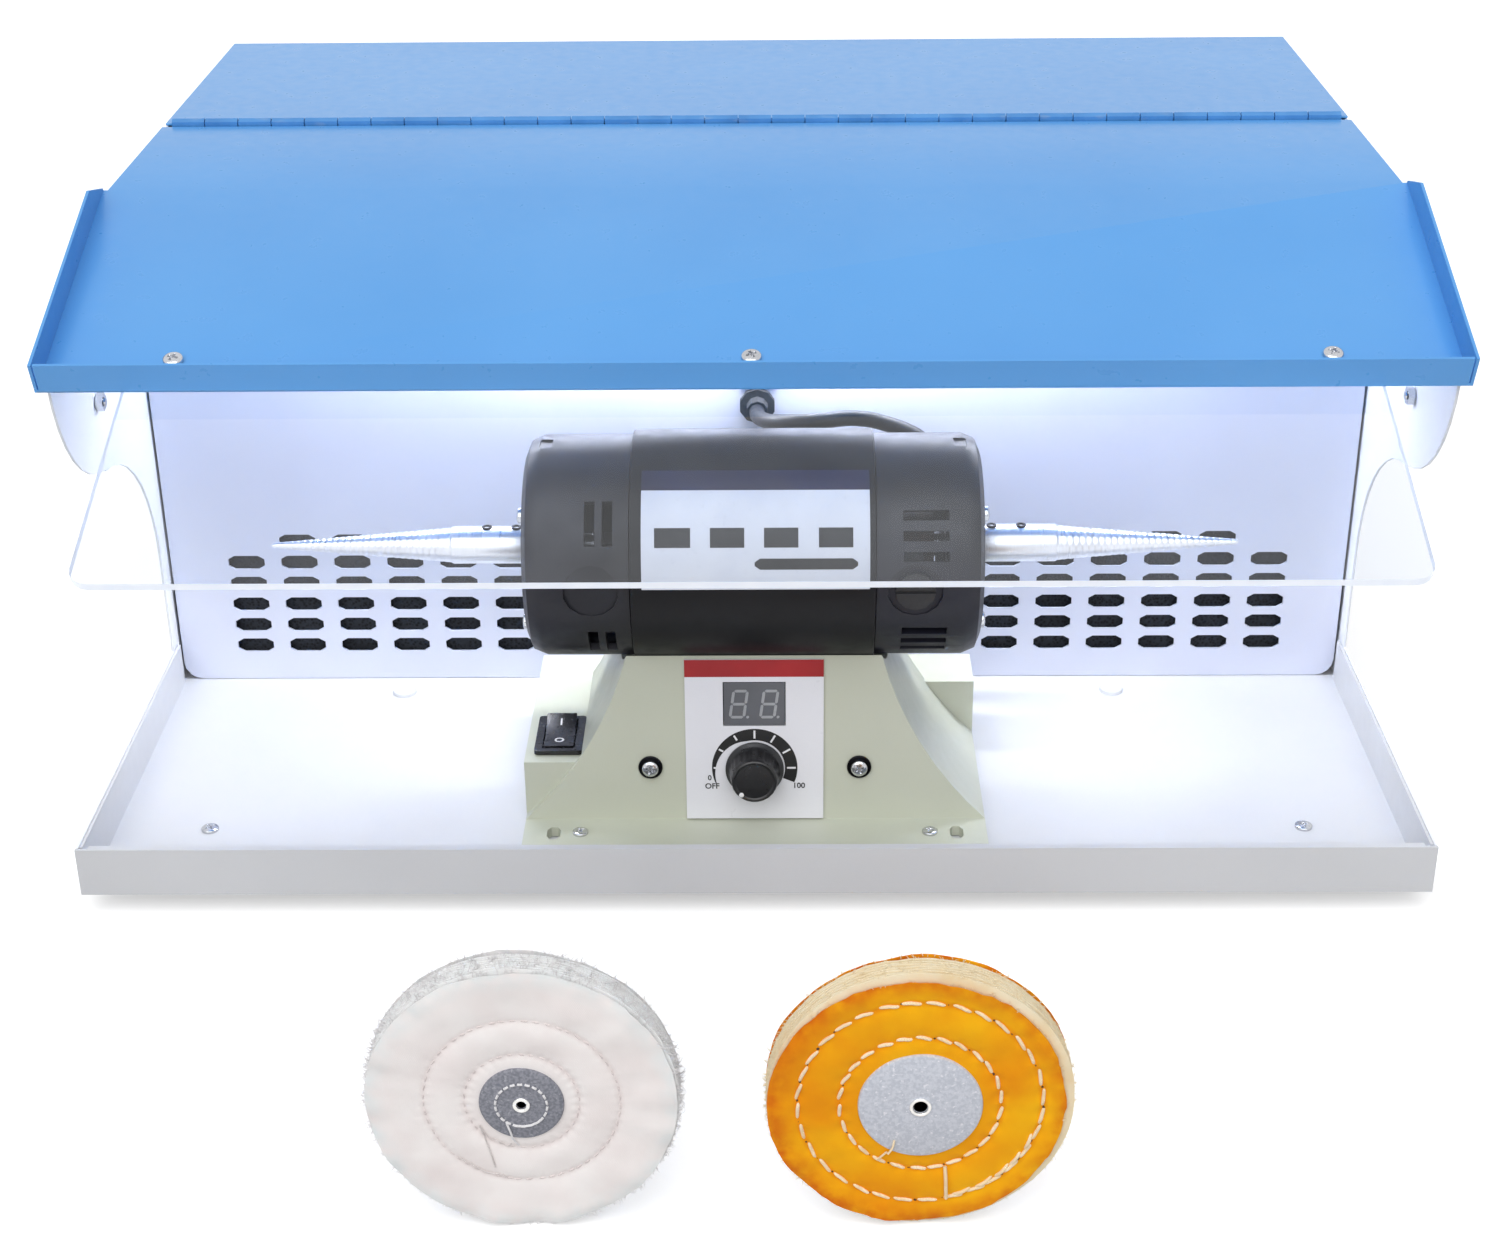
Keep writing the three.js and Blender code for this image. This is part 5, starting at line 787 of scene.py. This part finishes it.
FLOOR_TOP = 1.2
for screw_name, screw_place, tilt, spin, radius, height in (
        ("tray_screw_left", (-228, 47, FLOOR_TOP), 0, 35, 3.6, 1.6),
        ("tray_screw_right", (228, 47, FLOOR_TOP), 0, 10, 3.6, 1.6),
        ("tray_screw_rear_left", (-228, 385, FLOOR_TOP), 0, 5, 3.6, 1.6),
        ("tray_screw_rear_right", (228, 385, FLOOR_TOP), 0, 50, 3.6, 1.6),
        ("pedestal_screw_left", (-72, 36, 6), 0, 30, 3.2, 1.5),
        ("pedestal_screw_right", (72, 36, 6), 0, 75, 3.2, 1.5),
        ("clip_screw_left", (-4.5, 178.2, 151), 90, 0, 1.6, 1.0),
        ("clip_screw_right", (6.5, 178.2, 151), 90, 0, 1.6, 1.0),
        ("inlet_screw_left", (186, 429.3, 42), -90, 0, 1.9, 1.0),
        ("inlet_screw_right", (224, 429.3, 42), -90, 0, 1.9, 1.0)):
    small_screw(screw_name, MACHINE @ moved(*screw_place) @ turned(tilt, "X"), spin, radius, height)
for side_name, side in SIDES:
    for corner, (step_x, step_z) in enumerate(((-1, -1), (1, -1), (-1, 1), (1, 1))):
        place = MACHINE @ moved(side * 120 + step_x * 52.5, 426.5, 118 + step_z * 52.5) @ turned(-90, "X")
        small_screw(f"fan_screw_{side_name}_{corner + 1}", place, corner * 25, 3.3, 1.4)
for side_name, side in SIDES:
    for corner in range(4):
        angle = math.radians(45 + corner * 90)
        place = MOTOR @ moved(side * 91.5, 33 * math.cos(angle), 33 * math.sin(angle)) @ turned(side * 90, "Y")
        small_screw(f"bell_bolt_{side_name}_{corner + 1}", place, corner * 31, 3.4, 2.2)


# Tapered spindles with their screw thread and set screws
BORE_RADIUS = 5.3
COLLAR_RADIUS = 7.75
TAPER_START = 124
TAPER_END = 196.6
TAPER_RADIUS = 7.2
TIP_RADIUS = 1.2
THREAD_PITCH = 2.6
THREAD_DEPTH = 0.22
SOCKET_RADIUS = 1.05


def spindle(name, side):
    sides = 40
    rows = [ring(radius, along, sides) for radius, along in (
        (BORE_RADIUS, 118), (BORE_RADIUS, 92.4), (6.95, 92.4), (7.5, 92.7),
        (COLLAR_RADIUS, 93.4), (COLLAR_RADIUS, 122.8), (7.6, 123.5))]
    steps = int((TAPER_END - TAPER_START) / THREAD_PITCH * 7)
    for i in range(steps + 1):
        along = TAPER_START + (TAPER_END - TAPER_START) * i / steps
        radius = TAPER_RADIUS + (TIP_RADIUS - TAPER_RADIUS) * i / steps
        depth = THREAD_DEPTH * min(1, i / 12) * min(1, radius / 3)
        row = []
        for j, (x, y) in enumerate(circle(1, sides)):
            phase = (along / THREAD_PITCH - side * j / sides) % 1
            reach = radius - depth * max(0, 1 - abs(phase - 0.5) * 3.2)
            row.append((reach * x, reach * y, along))
        rows.append(row)
    rows += [ring(radius, along, sides) for radius, along in ((1.05, 197.3), (0.75, 197.8), (0.3, 198))]
    steel = Shape().solid(rows, MOTOR @ turned(side * 90, "Y"))
    piece = make(f"{name}_spindle_steel", steel, SPINDLE_STEEL, body="rotor")
    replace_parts(piece, f"{name}_spindle")
    count = 24
    socket = []
    for j, (x, y) in enumerate(circle(SOCKET_RADIUS, count)):
        flat = math.cos(math.tau * j / count % (math.pi / 3) - math.pi / 6)
        socket.append((x / flat, y / flat))
    for number, along in ((1, 97), (2, 109)):
        rows = [ring(2.1, 0, count), ring(2.1, 0.9, count), ring(2.1 * 0.93, 1.05, count)]
        rows += [[(x, y, height) for x, y in socket] for height in (1.05, 0.1)]
        screw = Shape().solid(rows, MOTOR @ moved(side * along, 0, COLLAR_RADIUS - 0.6))
        make(f"set_screw_{name}_{number}", screw, DARK_STEEL, body="rotor")


for side_name, side in SIDES:
    spindle(side_name, side)


# Motor label: thin curved plates round the can, without words
LABEL_RADIUS = 47.35
LABEL_START, LABEL_END = -43.6, 45.9


def label(name, x0, x1, low, high, lift, material, round_ends=0.0):
    """Curved plate between two angles above the horizontal at the front, lifted off the can."""
    columns = max(2, int((x1 - x0) / 2))
    steps = max(3, int((high - low) / 3))

    def face(radius):
        rows = []
        for i in range(steps + 1):
            share = i / steps
            inset = round_ends * (1 - math.sqrt(max(0, 1 - (2 * share - 1) ** 2)))
            angle = math.radians(low + (high - low) * share)
            start, end = x0 + inset, x1 - inset
            y, z = -radius * math.cos(angle), radius * math.sin(angle)
            rows.append([(start + (end - start) * j / columns, y, z) for j in range(columns + 1)])
        return rows

    under, over = face(LABEL_RADIUS - 0.3), face(LABEL_RADIUS + lift)
    shape = Shape()
    for rows in (
            over, [row[::-1] for row in under], [under[0], over[0]], [over[-1], under[-1]],
            [[row[0] for row in over], [row[0] for row in under]],
            [[row[-1] for row in under], [row[-1] for row in over]]):
        shape.skin(rows, False, MOTOR)
    make(name, shape, material)


label("motor_label_band", LABEL_START, LABEL_END, 51.4, 62.7, 0.0, PRINT_NAVY)
label("motor_label_field", LABEL_START, LABEL_END, 2.8, 51.4, 0.0, PRINT_PALE)
for box_name, box_start, box_end in (
        ("first", -38.4, -24.3), ("second", -16.6, -3.2), ("third", 4.5, 17.9), ("fourth", 25.9, 39.3)):
    label(f"motor_label_box_{box_name}", box_start, box_end, 23.2, 32.6, 0.08, PRINT_BLACK)
label("motor_label_bar", 0.7, 41.3, 12.7, 18, 0.08, PRINT_BLACK, 2.2)


# Print on the control plate
BAND_RADIUS = 17.6


def dial_band():
    """Band round the dial that starts narrow and is at its full width near the middle."""
    steps = 72
    inner, outer = [], []
    for i in range(steps + 1):
        angle = math.radians(207 - 229 * i / steps)
        width = min(5.1, 0.25 + 5.0 * i / (steps * 0.46))
        for edge, radius in ((inner, BAND_RADIUS - width), (outer, BAND_RADIUS)):
            edge.append((radius * math.cos(angle), radius * math.sin(angle)))
    rows = [[(a, b, height) for a, b in edge] for edge, height in (
        (inner, 0.06), (outer, 0.06), (outer, -0.02), (inner, -0.02), (inner, 0.06))]
    shape = Shape().skin(rows)
    count = steps + 1
    shape.faces.append([0, count, 2 * count, 3 * count])
    shape.faces.append([count - 1, 4 * count - 1, 3 * count - 1, 2 * count - 1])
    return shape


def display_segments():
    """Two slanted seven-segment digits with their points."""
    shape = Shape()
    width, height, thick, gap = 5.6, 11.6, 1.15, 0.18
    half, slant = height / 2, math.tan(math.radians(8))

    def bar(a, b, length, upright=False):
        narrow, reach = thick / 2, length / 2 - gap
        outline = [(-reach, 0), (narrow - reach, -narrow), (reach - narrow, -narrow),
                   (reach, 0), (reach - narrow, narrow), (narrow - reach, narrow)]
        return [(a - v, b + u) if upright else (a + u, b + v) for u, v in outline]

    for centre in (-6.3, 6.1):
        bars = [bar(0, middle, width) for middle in (half, 0, -half)]
        bars += [bar(a, b, half, True) for a in (-width / 2, width / 2) for b in (half / 2, -half / 2)]
        dot = [(width / 2 + 1.6 + u, v - half) for u, v in circle(0.6, 12)]
        for outline in [*bars, dot]:
            shape.plate([(centre + u + v * slant, v) for u, v in outline], 0.0, 0.1)
    return shape


ticks = Shape()
for tick in range(7):
    start = 13.3 if tick < 4 else 14.4 + (tick - 4) * 0.5
    ticks.plate([(start, -0.4), (16.9, -0.4), (16.9, 0.4), (start, 0.4)], 0.02, 0.12, turned(tick * 30, "Z"))
strip = Shape().plate([(-28.3, 64.8), (28.3, 64.8), (28.3, 72.3), (-28.3, 72.3)], 0.0, 0.12)

make("dial_band", dial_band(), PRINT_BLACK, on_plate(0, KNOB_Z), smooth=False)
make("dial_ticks", ticks, PRINT_WHITE, on_plate(0, KNOB_Z), smooth=False)
lettering("dial_zero", "0", 3.2, on_plate(-18.6, 19.4), PRINT_BLACK)
lettering("dial_off", "OFF", 3.4, on_plate(-17.6, 15.6), PRINT_BLACK)
lettering("dial_hundred", "100", 3.4, on_plate(18.2, 15.8), PRINT_BLACK)
make("red_strip", strip, PRINT_RED, on_plate(0, 0, 0.0), smooth=False)
make("display_segments", display_segments(), SEGMENT_GREY, on_plate(0, 52.7, 0.0), smooth=False)


# Speed knob with its skirt, fluted grip and pointer dot
FLUTE_COUNT = 24
FLUTE_DEPTH = 0.28
KNOB_PROFILE = (
    (3, -2.6, 0), (3, 0, 0), (11.4, 0, 0), (12, 0.4, 0), (12, 1.3, 0), (11.7, 1.6, 0), (11, 2.3, 0),
    (10.6, 2.8, 0), (10.3, 3.6, 0.4), (10.15, 5, 1), (9.7, 10.6, 1), (9.5, 11.9, 0.5), (9.1, 12.7, 0),
    (8.5, 13, 0), (7.9, 12.9, 0), (7.5, 12.6, 0), (3.5, 12.55, 0), (0.1, 12.5, 0))


def speed_knob():
    sides = 96
    rows = []
    for radius, along, flute in KNOB_PROFILE:
        row = []
        for j, (x, y) in enumerate(circle(1, sides)):
            wave = 0.5 + 0.5 * math.cos(math.tau * FLUTE_COUNT * j / sides)
            reach = radius - FLUTE_DEPTH * flute * wave ** 2
            row.append((reach * x, reach * y, along))
        rows.append(row)
    matrix = on_plate(0, KNOB_Z, 0.6)
    cap = make("speed_knob_cap", Shape().solid(rows), KNOB_PLASTIC, matrix, "knob")
    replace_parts(cap, "speed_knob")
    dot = Shape().lathe([(0, -0.4), (1.0, -0.4), (1.0, 0.12), (0.75, 0.25), (0, 0.3)], 24)
    angle = math.radians(228)
    place = matrix @ moved(8.0 * math.cos(angle), 8.0 * math.sin(angle), 12.85)
    make("knob_pointer", dot, PRINT_WHITE, place, "knob")


speed_knob()

ROCKER = MACHINE @ moved(-81.8, 71.4, 31.9) @ turned(8, "X")
for mark, word, way in (("on", "I", 1), ("off", "O", -1)):
    mark_place = ROCKER @ moved(0, way * 6.2, 2.62) @ turned(way * 10.8, "X")
    lettering(f"rocker_mark_{mark}", word, 5.2, mark_place, PRINT_WHITE, "rocker")


# Buffing wheels
PLY_THICK = 0.9
WHEEL_THICK = 11.0


def uneven(angle, size, height):
    """Noise from -1 to 1 that comes back to its start once round; a larger size changes faster."""
    return noise.noise(Vector((math.cos(angle) * size, math.sin(angle) * size, height)))


def hoop(profile, sides):
    """Form turned about a wheel's axis from (radius, depth) points."""
    return Shape().skin([[(x, depth, z) for x, z in circle(radius, sides)] for radius, depth in profile], True)


class Wheel:
    """One stitched wheel in its own frame: X across, Y to the rear from its front face, Z up."""

    def __init__(self, name, centre, bore, hub, rings, seed, wander, trim, pucker, slot_name):
        self.name = name
        self.matrix = GROUND @ moved(centre[0], WHEEL_FRONT, centre[1])
        self.radius = centre[1]
        self.bore = bore
        self.hub = hub
        self.rings = rings
        self.seed = seed
        self.wander = wander
        self.trim = trim
        self.pucker = pucker
        self.slot_name = slot_name
        self.holes = []
        self.random = random.Random(seed)

    def piece(self, ending, shape, material, slot_name=None):
        return make(f"{self.name}_{ending}", shape, material, self.matrix)

    def point(self, radius, angle, depth):
        """A place on the wheel, kept above the ground."""
        x, z = radius * math.cos(angle), radius * math.sin(angle)
        return Vector((x, depth, max(z, -self.radius + 0.05)))

    def rim(self, angle, layer):
        """Radius of a layer's cut edge, a little uneven and never past the wheel's size."""
        fine = self.seed + layer * 3.1
        drop = self.wander * (0.5 + 0.5 * uneven(angle, 2.2, self.seed + layer * 1.7))
        drop += 0.5 * abs(uneven(angle, 9, fine))
        if layer == 0:
            short, towards = self.trim
            away = 0.5 + 0.5 * math.cos(angle - math.radians(towards))
            drop += short * away ** 0.6 * (1 + 0.3 * uneven(angle, 9 * 1.4, fine * 1.4))
        return self.radius - drop

    def puff(self, radius, angle):
        """How far the cloth stands out of its plane between the stitched rings."""
        pins = [self.hub * 0.8, *[ring_radius for ring_radius, _ in self.rings], self.radius * 1.12]
        height = 0.0
        for low, high in zip(pins, pins[1:]):
            if low <= radius < high:
                share = (radius - low) / (high - low)
                height = math.sin(math.pi * share) ** 0.7 * min(1.0, (high - low) / 11)
        pucker = 0.0
        for ring_radius, count in self.rings:
            pucker += max(0, 1 - abs(radius - ring_radius) / 3.5) * self.pucker * math.cos(angle * count)
        last = self.rings[-1][0]
        loose = max(0, (radius - last) / (self.radius - last))
        folds = 1.5 * loose ** 1.6 * uneven(angle, 3.4, self.seed * 0.7)
        return height + 0.5 * uneven(angle, radius * 0.09, self.seed) * height + pucker + folds

    def layer(self, shape, index, inner, front, thick, outward, steps, sides):
        """One ply as a closed thin body behind a depth; outward is -1 on the front and +1 behind."""
        top, bottom = [], []
        for i in range(steps + 1):
            share = i / steps
            curl = 0.28 * max(0, share - 0.94) / 0.06
            upper, lower = [], []
            for j in range(sides):
                angle = math.tau * j / sides
                radius = inner + (self.rim(angle, index) - inner) * share
                shift = self.puff(radius, angle) * outward
                shift += 0.5 * share ** 3 * uneven(angle, 6, index * 5.3 + self.seed)
                upper.append(self.point(radius - curl, angle, front + shift + curl))
                lower.append(self.point(radius - curl, angle, front + thick + shift - curl))
            top.append(upper)
            bottom.append(lower)
        shape.skin([*top, *reversed(bottom), top[0]], True)

    def cloth(self, material, edge_material, plies):
        """Outer plies over a stack whose cut edges show at the rim."""
        outer = Shape()
        self.layer(outer, 0, self.bore + 1.2, 0.0, PLY_THICK, -1, 56, 200)
        self.layer(outer, plies, self.bore + 1.2, WHEEL_THICK - PLY_THICK, PLY_THICK, 1, 56, 200)
        cloth = self.piece("cloth", outer, material)
        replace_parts(cloth, self.name)
        stack = Shape()
        pitch = (WHEEL_THICK - 2 * PLY_THICK - 0.1) / (plies - 1)
        for index in range(1, plies):
            depth = PLY_THICK + 0.05 + (index - 1) * pitch
            self.layer(stack, index, self.radius * 0.6, depth, pitch * 0.95, 0, 10, 160)
        self.piece("plies", stack, edge_material)

    def fray(self, material, count, reach):
        """Loose fibres along the cut edges."""
        shape = Shape()
        draw = self.random.uniform
        for _ in range(count):
            angle = draw(0, math.tau)
            depth = draw(-0.4, 11.4)
            length = reach * draw(0.35, 1.0) ** 1.5
            lean = draw(-0.9, 0.9)
            start = self.rim(angle, int(depth)) - 0.6
            points = []
            for step in range(4):
                far = min(start + length * step / 3, self.radius + 1.5)
                bend = lean * (step / 3) ** 1.7 * length / self.radius
                points.append(self.point(far, angle + bend, depth + draw(-0.18, 0.18) * step + lean * step * 0.1))
            shape.tube(points, [0.16, 0.14, 0.1, 0.05], 4)
        self.piece("fray", shape, material)

    def surface(self, radius, angle, lift):
        """A place that far in front of the cloth."""
        return self.point(radius, angle, -self.puff(radius, angle) - lift)

    def stitches(self, shape, radius, count, share, width, slant=0.0, phase=0.0, within=(-180, 180)):
        """A ring of stitches, each slanting across it a little, between two angles where they are given."""
        step_angle = math.tau / count
        for i in range(count):
            start = step_angle * (i + phase) + self.random.uniform(-0.02, 0.02)
            place = (math.degrees(start) + 180) % 360 - 180
            if not within[0] <= place <= within[1]:
                continue
            wobble = slant + self.random.uniform(-0.3, 0.3)
            points, radii = [], []
            for step in range(9):
                t = step / 8
                dip = math.sin(math.pi * t) ** 0.5
                lift = width * (0.75 * dip - 0.45)
                points.append(self.surface(radius + wobble * (t - 0.5), start + step_angle * share * t, lift))
                radii.append(width * (0.62 + 0.38 * dip) / 2)
            shape.tube(points, radii)
            self.holes.append((radius, start - step_angle * (1 - share) / 2))

    def needle_hole_shades(self, size):
        """Dark discs between the stitches: painted shade of the needle holes."""
        shape = Shape()
        for radius, angle in self.holes:
            across = size * self.random.uniform(0.6, 1.2)
            spot = self.surface(radius + self.random.uniform(-0.3, 0.3), angle, -0.05)
            disc = [(0, -0.3), (across, -0.3), (across, 0.06), (across * 0.7, 0.1), (0, 0.1)]
            shape.lathe(disc, 10, Matrix.Translation(spot) @ turned(90, "X"))
        self.piece("needle_hole_shades", shape, NEEDLE_HOLE_SHADE)

    def thread(self, shape, places, width):
        """Thread lying on the cloth through (x, z) places, smoothed."""
        points = []
        for spot in smooth_route([(x, 0, z) for x, z in places], 5):
            radius = math.hypot(spot.x, spot.z)
            lift = width * 0.9 if radius > self.hub + 0.6 else 2.3
            points.append(self.surface(radius, math.atan2(spot.z, spot.x), lift))
        shape.tube(points, width / 2, 6)

    def board(self, material, slot_name, eyelet):
        """Hub discs on both faces, joined by a sleeve, with an eyelet on each."""
        face = 2.0
        bore, hub = self.bore, self.hub
        half = [
            (bore, 0.25 - face), (bore + 0.35, -0.12 - face), (eyelet, -0.1 - face), (eyelet + 0.25, 0.12 - face),
            (hub - 0.9, -face), (hub - 0.25, 0.25 - face), (hub, 0.75 - face), (hub, -0.35), (bore + 0.9, -0.3)]
        profile = [*half, *[(radius, WHEEL_THICK - depth) for radius, depth in reversed(half)], half[0]]
        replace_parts(self.piece("hub_disc", hoop(profile, 72), material, slot_name), f"{self.name}_hub")
        low, high = 0.3 - face, WHEEL_THICK + face - 0.3
        sleeve = [(bore, low), (bore, high), (bore - 0.25, high), (bore - 0.25, low), (bore, low)]
        self.piece("bore_sleeve", hoop(sleeve, 40), DARK_STEEL, "steel")
        middle, roll = (bore + 0.1 + eyelet) / 2, (eyelet - bore - 0.1) / 2
        for side_name, depth, way in (("front", -face, -1), ("rear", WHEEL_THICK + face, 1)):
            profile = []
            for i in range(13):
                turn = math.pi * i / 12
                profile.append((middle - roll * math.cos(turn), depth + way * (0.12 + 0.5 * math.sin(turn))))
            profile += [(eyelet, depth - way * 0.15), (bore + 0.1, depth - way * 0.15), profile[0]]
            self.piece(f"eyelet_{side_name}", hoop(profile, 40), EYELET, "steel")


def white_wheel():
    inner, outer = WHITE_RINGS
    wheel = Wheel(
        "white_buff", WHITE_CENTRE, 1.5, 13.8, [(inner, 34), (outer, 56)], 3, 0.4, (0.6, 30), 0.12, "white_cloth")
    wheel.cloth(WHITE_CLOTH, WHITE_RIM, 9)
    wheel.fray(WHITE_FIBRE, 2200, 2.8)
    wheel.board(GREY_BOARD, "grey_hub", 2.9)
    seams = Shape()
    wheel.stitches(seams, inner, 34, 0.62, 0.55)
    wheel.stitches(seams, outer, 56, 0.66, 0.6)
    wheel.piece("seams", seams, STITCH_PALE)
    hub_ring = Shape()
    count, radius, steps = 22, 8.4, 5
    for i in range(count):
        sweep = 0.98 if 15 <= i <= 18 else 0.62
        points = []
        for t in range(steps + 1):
            angle = math.tau * (i + 0.2 + sweep * t / steps) / count
            lift = 2.2 + 0.18 * math.sin(math.pi * t / steps)
            points.append((radius * math.cos(angle), -lift, radius * math.sin(angle)))
        hub_ring.tube(points, 0.42)
    wheel.piece("hub_stitches", hub_ring, STITCH_WHITE)
    tail = Shape().tube([
        (-5.2, -2.3, -6.6), (-4.6, -2.5, -8.6), (-3.9, -2.6, -10.8), (-3.4, -2.4, -13.4), (-2.6, -1.4, -15.6),
        (-1.6, -1.1, -17.2)], [0.4, 0.38, 0.36, 0.34, 0.3, 0.22], 6)
    wheel.piece("thread_tail", tail, STITCH_WHITE)
    loose = Shape()
    wheel.thread(loose, [(-14.2, -9.2), (-13.0, -13.5), (-11.2, -19.6), (-9.9, -26.0)], 0.5)
    wheel.thread(loose, [(-13.6, -9.8), (-11.4, -14.4), (-8.6, -15.6), (-5.6, -18.0), (-4.2, -16.6)], 0.36)
    wheel.thread(loose, [(-22.0, -22.4), (-18.0, -25.0), (-13.0, -28.6), (-8.4, -29.4), (-6.6, -30.6)], 0.4)
    wheel.piece("loose_threads", loose, STITCH_GREY)


def yellow_wheel():
    inner, outer = YELLOW_RINGS
    wheel = Wheel(
        "yellow_buff", YELLOW_CENTRE, 2.3, 20.2, [(inner, 26), (outer, 32)], 11, 0.5, (2.9, 20), 0.3, "yellow_cloth")
    wheel.cloth(YELLOW_CLOTH, RAW_EDGE, 8)
    wheel.fray(CREAM_FIBRE, 1300, 1.9)
    wheel.board(PALE_BOARD, "pale_hub", 3.6)
    seams = Shape()
    wheel.stitches(seams, inner, 26, 0.84, 1.3, 0.9)
    wheel.stitches(seams, outer, 32, 0.86, 1.25, 0.9)
    wheel.needle_hole_shades(0.5)
    wheel.stitches(seams, outer - 1, 32, 0.9, 1.2, -0.8, 0.5, (-78, -22))
    wheel.thread(seams, [(8.6, -24.8), (8.9, -29.0), (9.1, -33.5), (9.3, -38.2)], 1.2)
    wheel.thread(seams, [(-13.6, -22.4), (-11.2, -19.2), (-8.8, -15.8), (-8.2, -13.4)], 0.7)
    wheel.piece("seams", seams, STITCH_CREAM)


white_wheel()
yellow_wheel()


# Floor, world and lamps
WORLD_LEVEL = 0.42
BACKDROP_LEVEL = 1.03
KEY_LEVEL = 2.25
LAMP_POWER = 0.46
FLOOR_BOUNCE = 0.45
FLOOR_LIFT = 0.38


def studio():
    mesh = bpy.data.meshes.new("floor")
    mesh.from_pydata([(-6, 6, 0), (6, 6, 0), (6, -6, 0), (-6, -6, 0)], [], [(0, 1, 2, 3)])
    finish = Finish("pale_floor", 0.9)
    seen = finish.seen()
    tone = finish.speckle((240, 240, 240), (243, 243, 243), 3)
    dull = finish.band(seen, 0.0, 1.0, FLOOR_BOUNCE, 1.0)
    finish.set(Base_Color=finish.shade(tone, dull), Emission_Color=(1, 1, 1, 1))
    finish.set(Emission_Strength=finish.times(seen, FLOOR_LIFT))
    mesh.materials.append(finish.material)
    put("floor", mesh)

    world = bpy.data.worlds.new("studio")
    world.use_nodes = True
    tree = Tree(world.node_tree)
    level = tree.band(tree.seen(), 0.0, 1.0, WORLD_LEVEL, BACKDROP_LEVEL)
    background = tree.node("ShaderNodeBackground", {"Color": (0.98, 0.985, 1.0, 1.0), "Strength": level})
    tree.node("ShaderNodeOutputWorld", {0: background.outputs[0]})
    bpy.context.scene.world = world

    key = bpy.data.lights.new("key", "SUN")
    key.energy = KEY_LEVEL
    key.angle = math.radians(70)
    put("key", key).rotation_euler = (math.radians(42), 0, math.radians(-10))

    for side_name, side in SIDES:
        name = f"lamp_light_{side_name}"
        data = bpy.data.lights.new(name, "AREA")
        data.shape = "RECTANGLE"
        data.size = 0.208
        data.size_y = 0.01
        data.energy = LAMP_POWER
        data.color = (0.97, 0.98, 1.0)
        lamp = put(name, data)
        place = MACHINE @ Vector((side * LAMP_CENTRE / MM, 165, 203))
        lamp.matrix_world = Matrix.Translation(place) @ turned(14, "X") @ turned(-15 * side, "Y")
        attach(lamp, "root")


studio()

bpy.context.scene.view_settings.view_transform = "Standard"
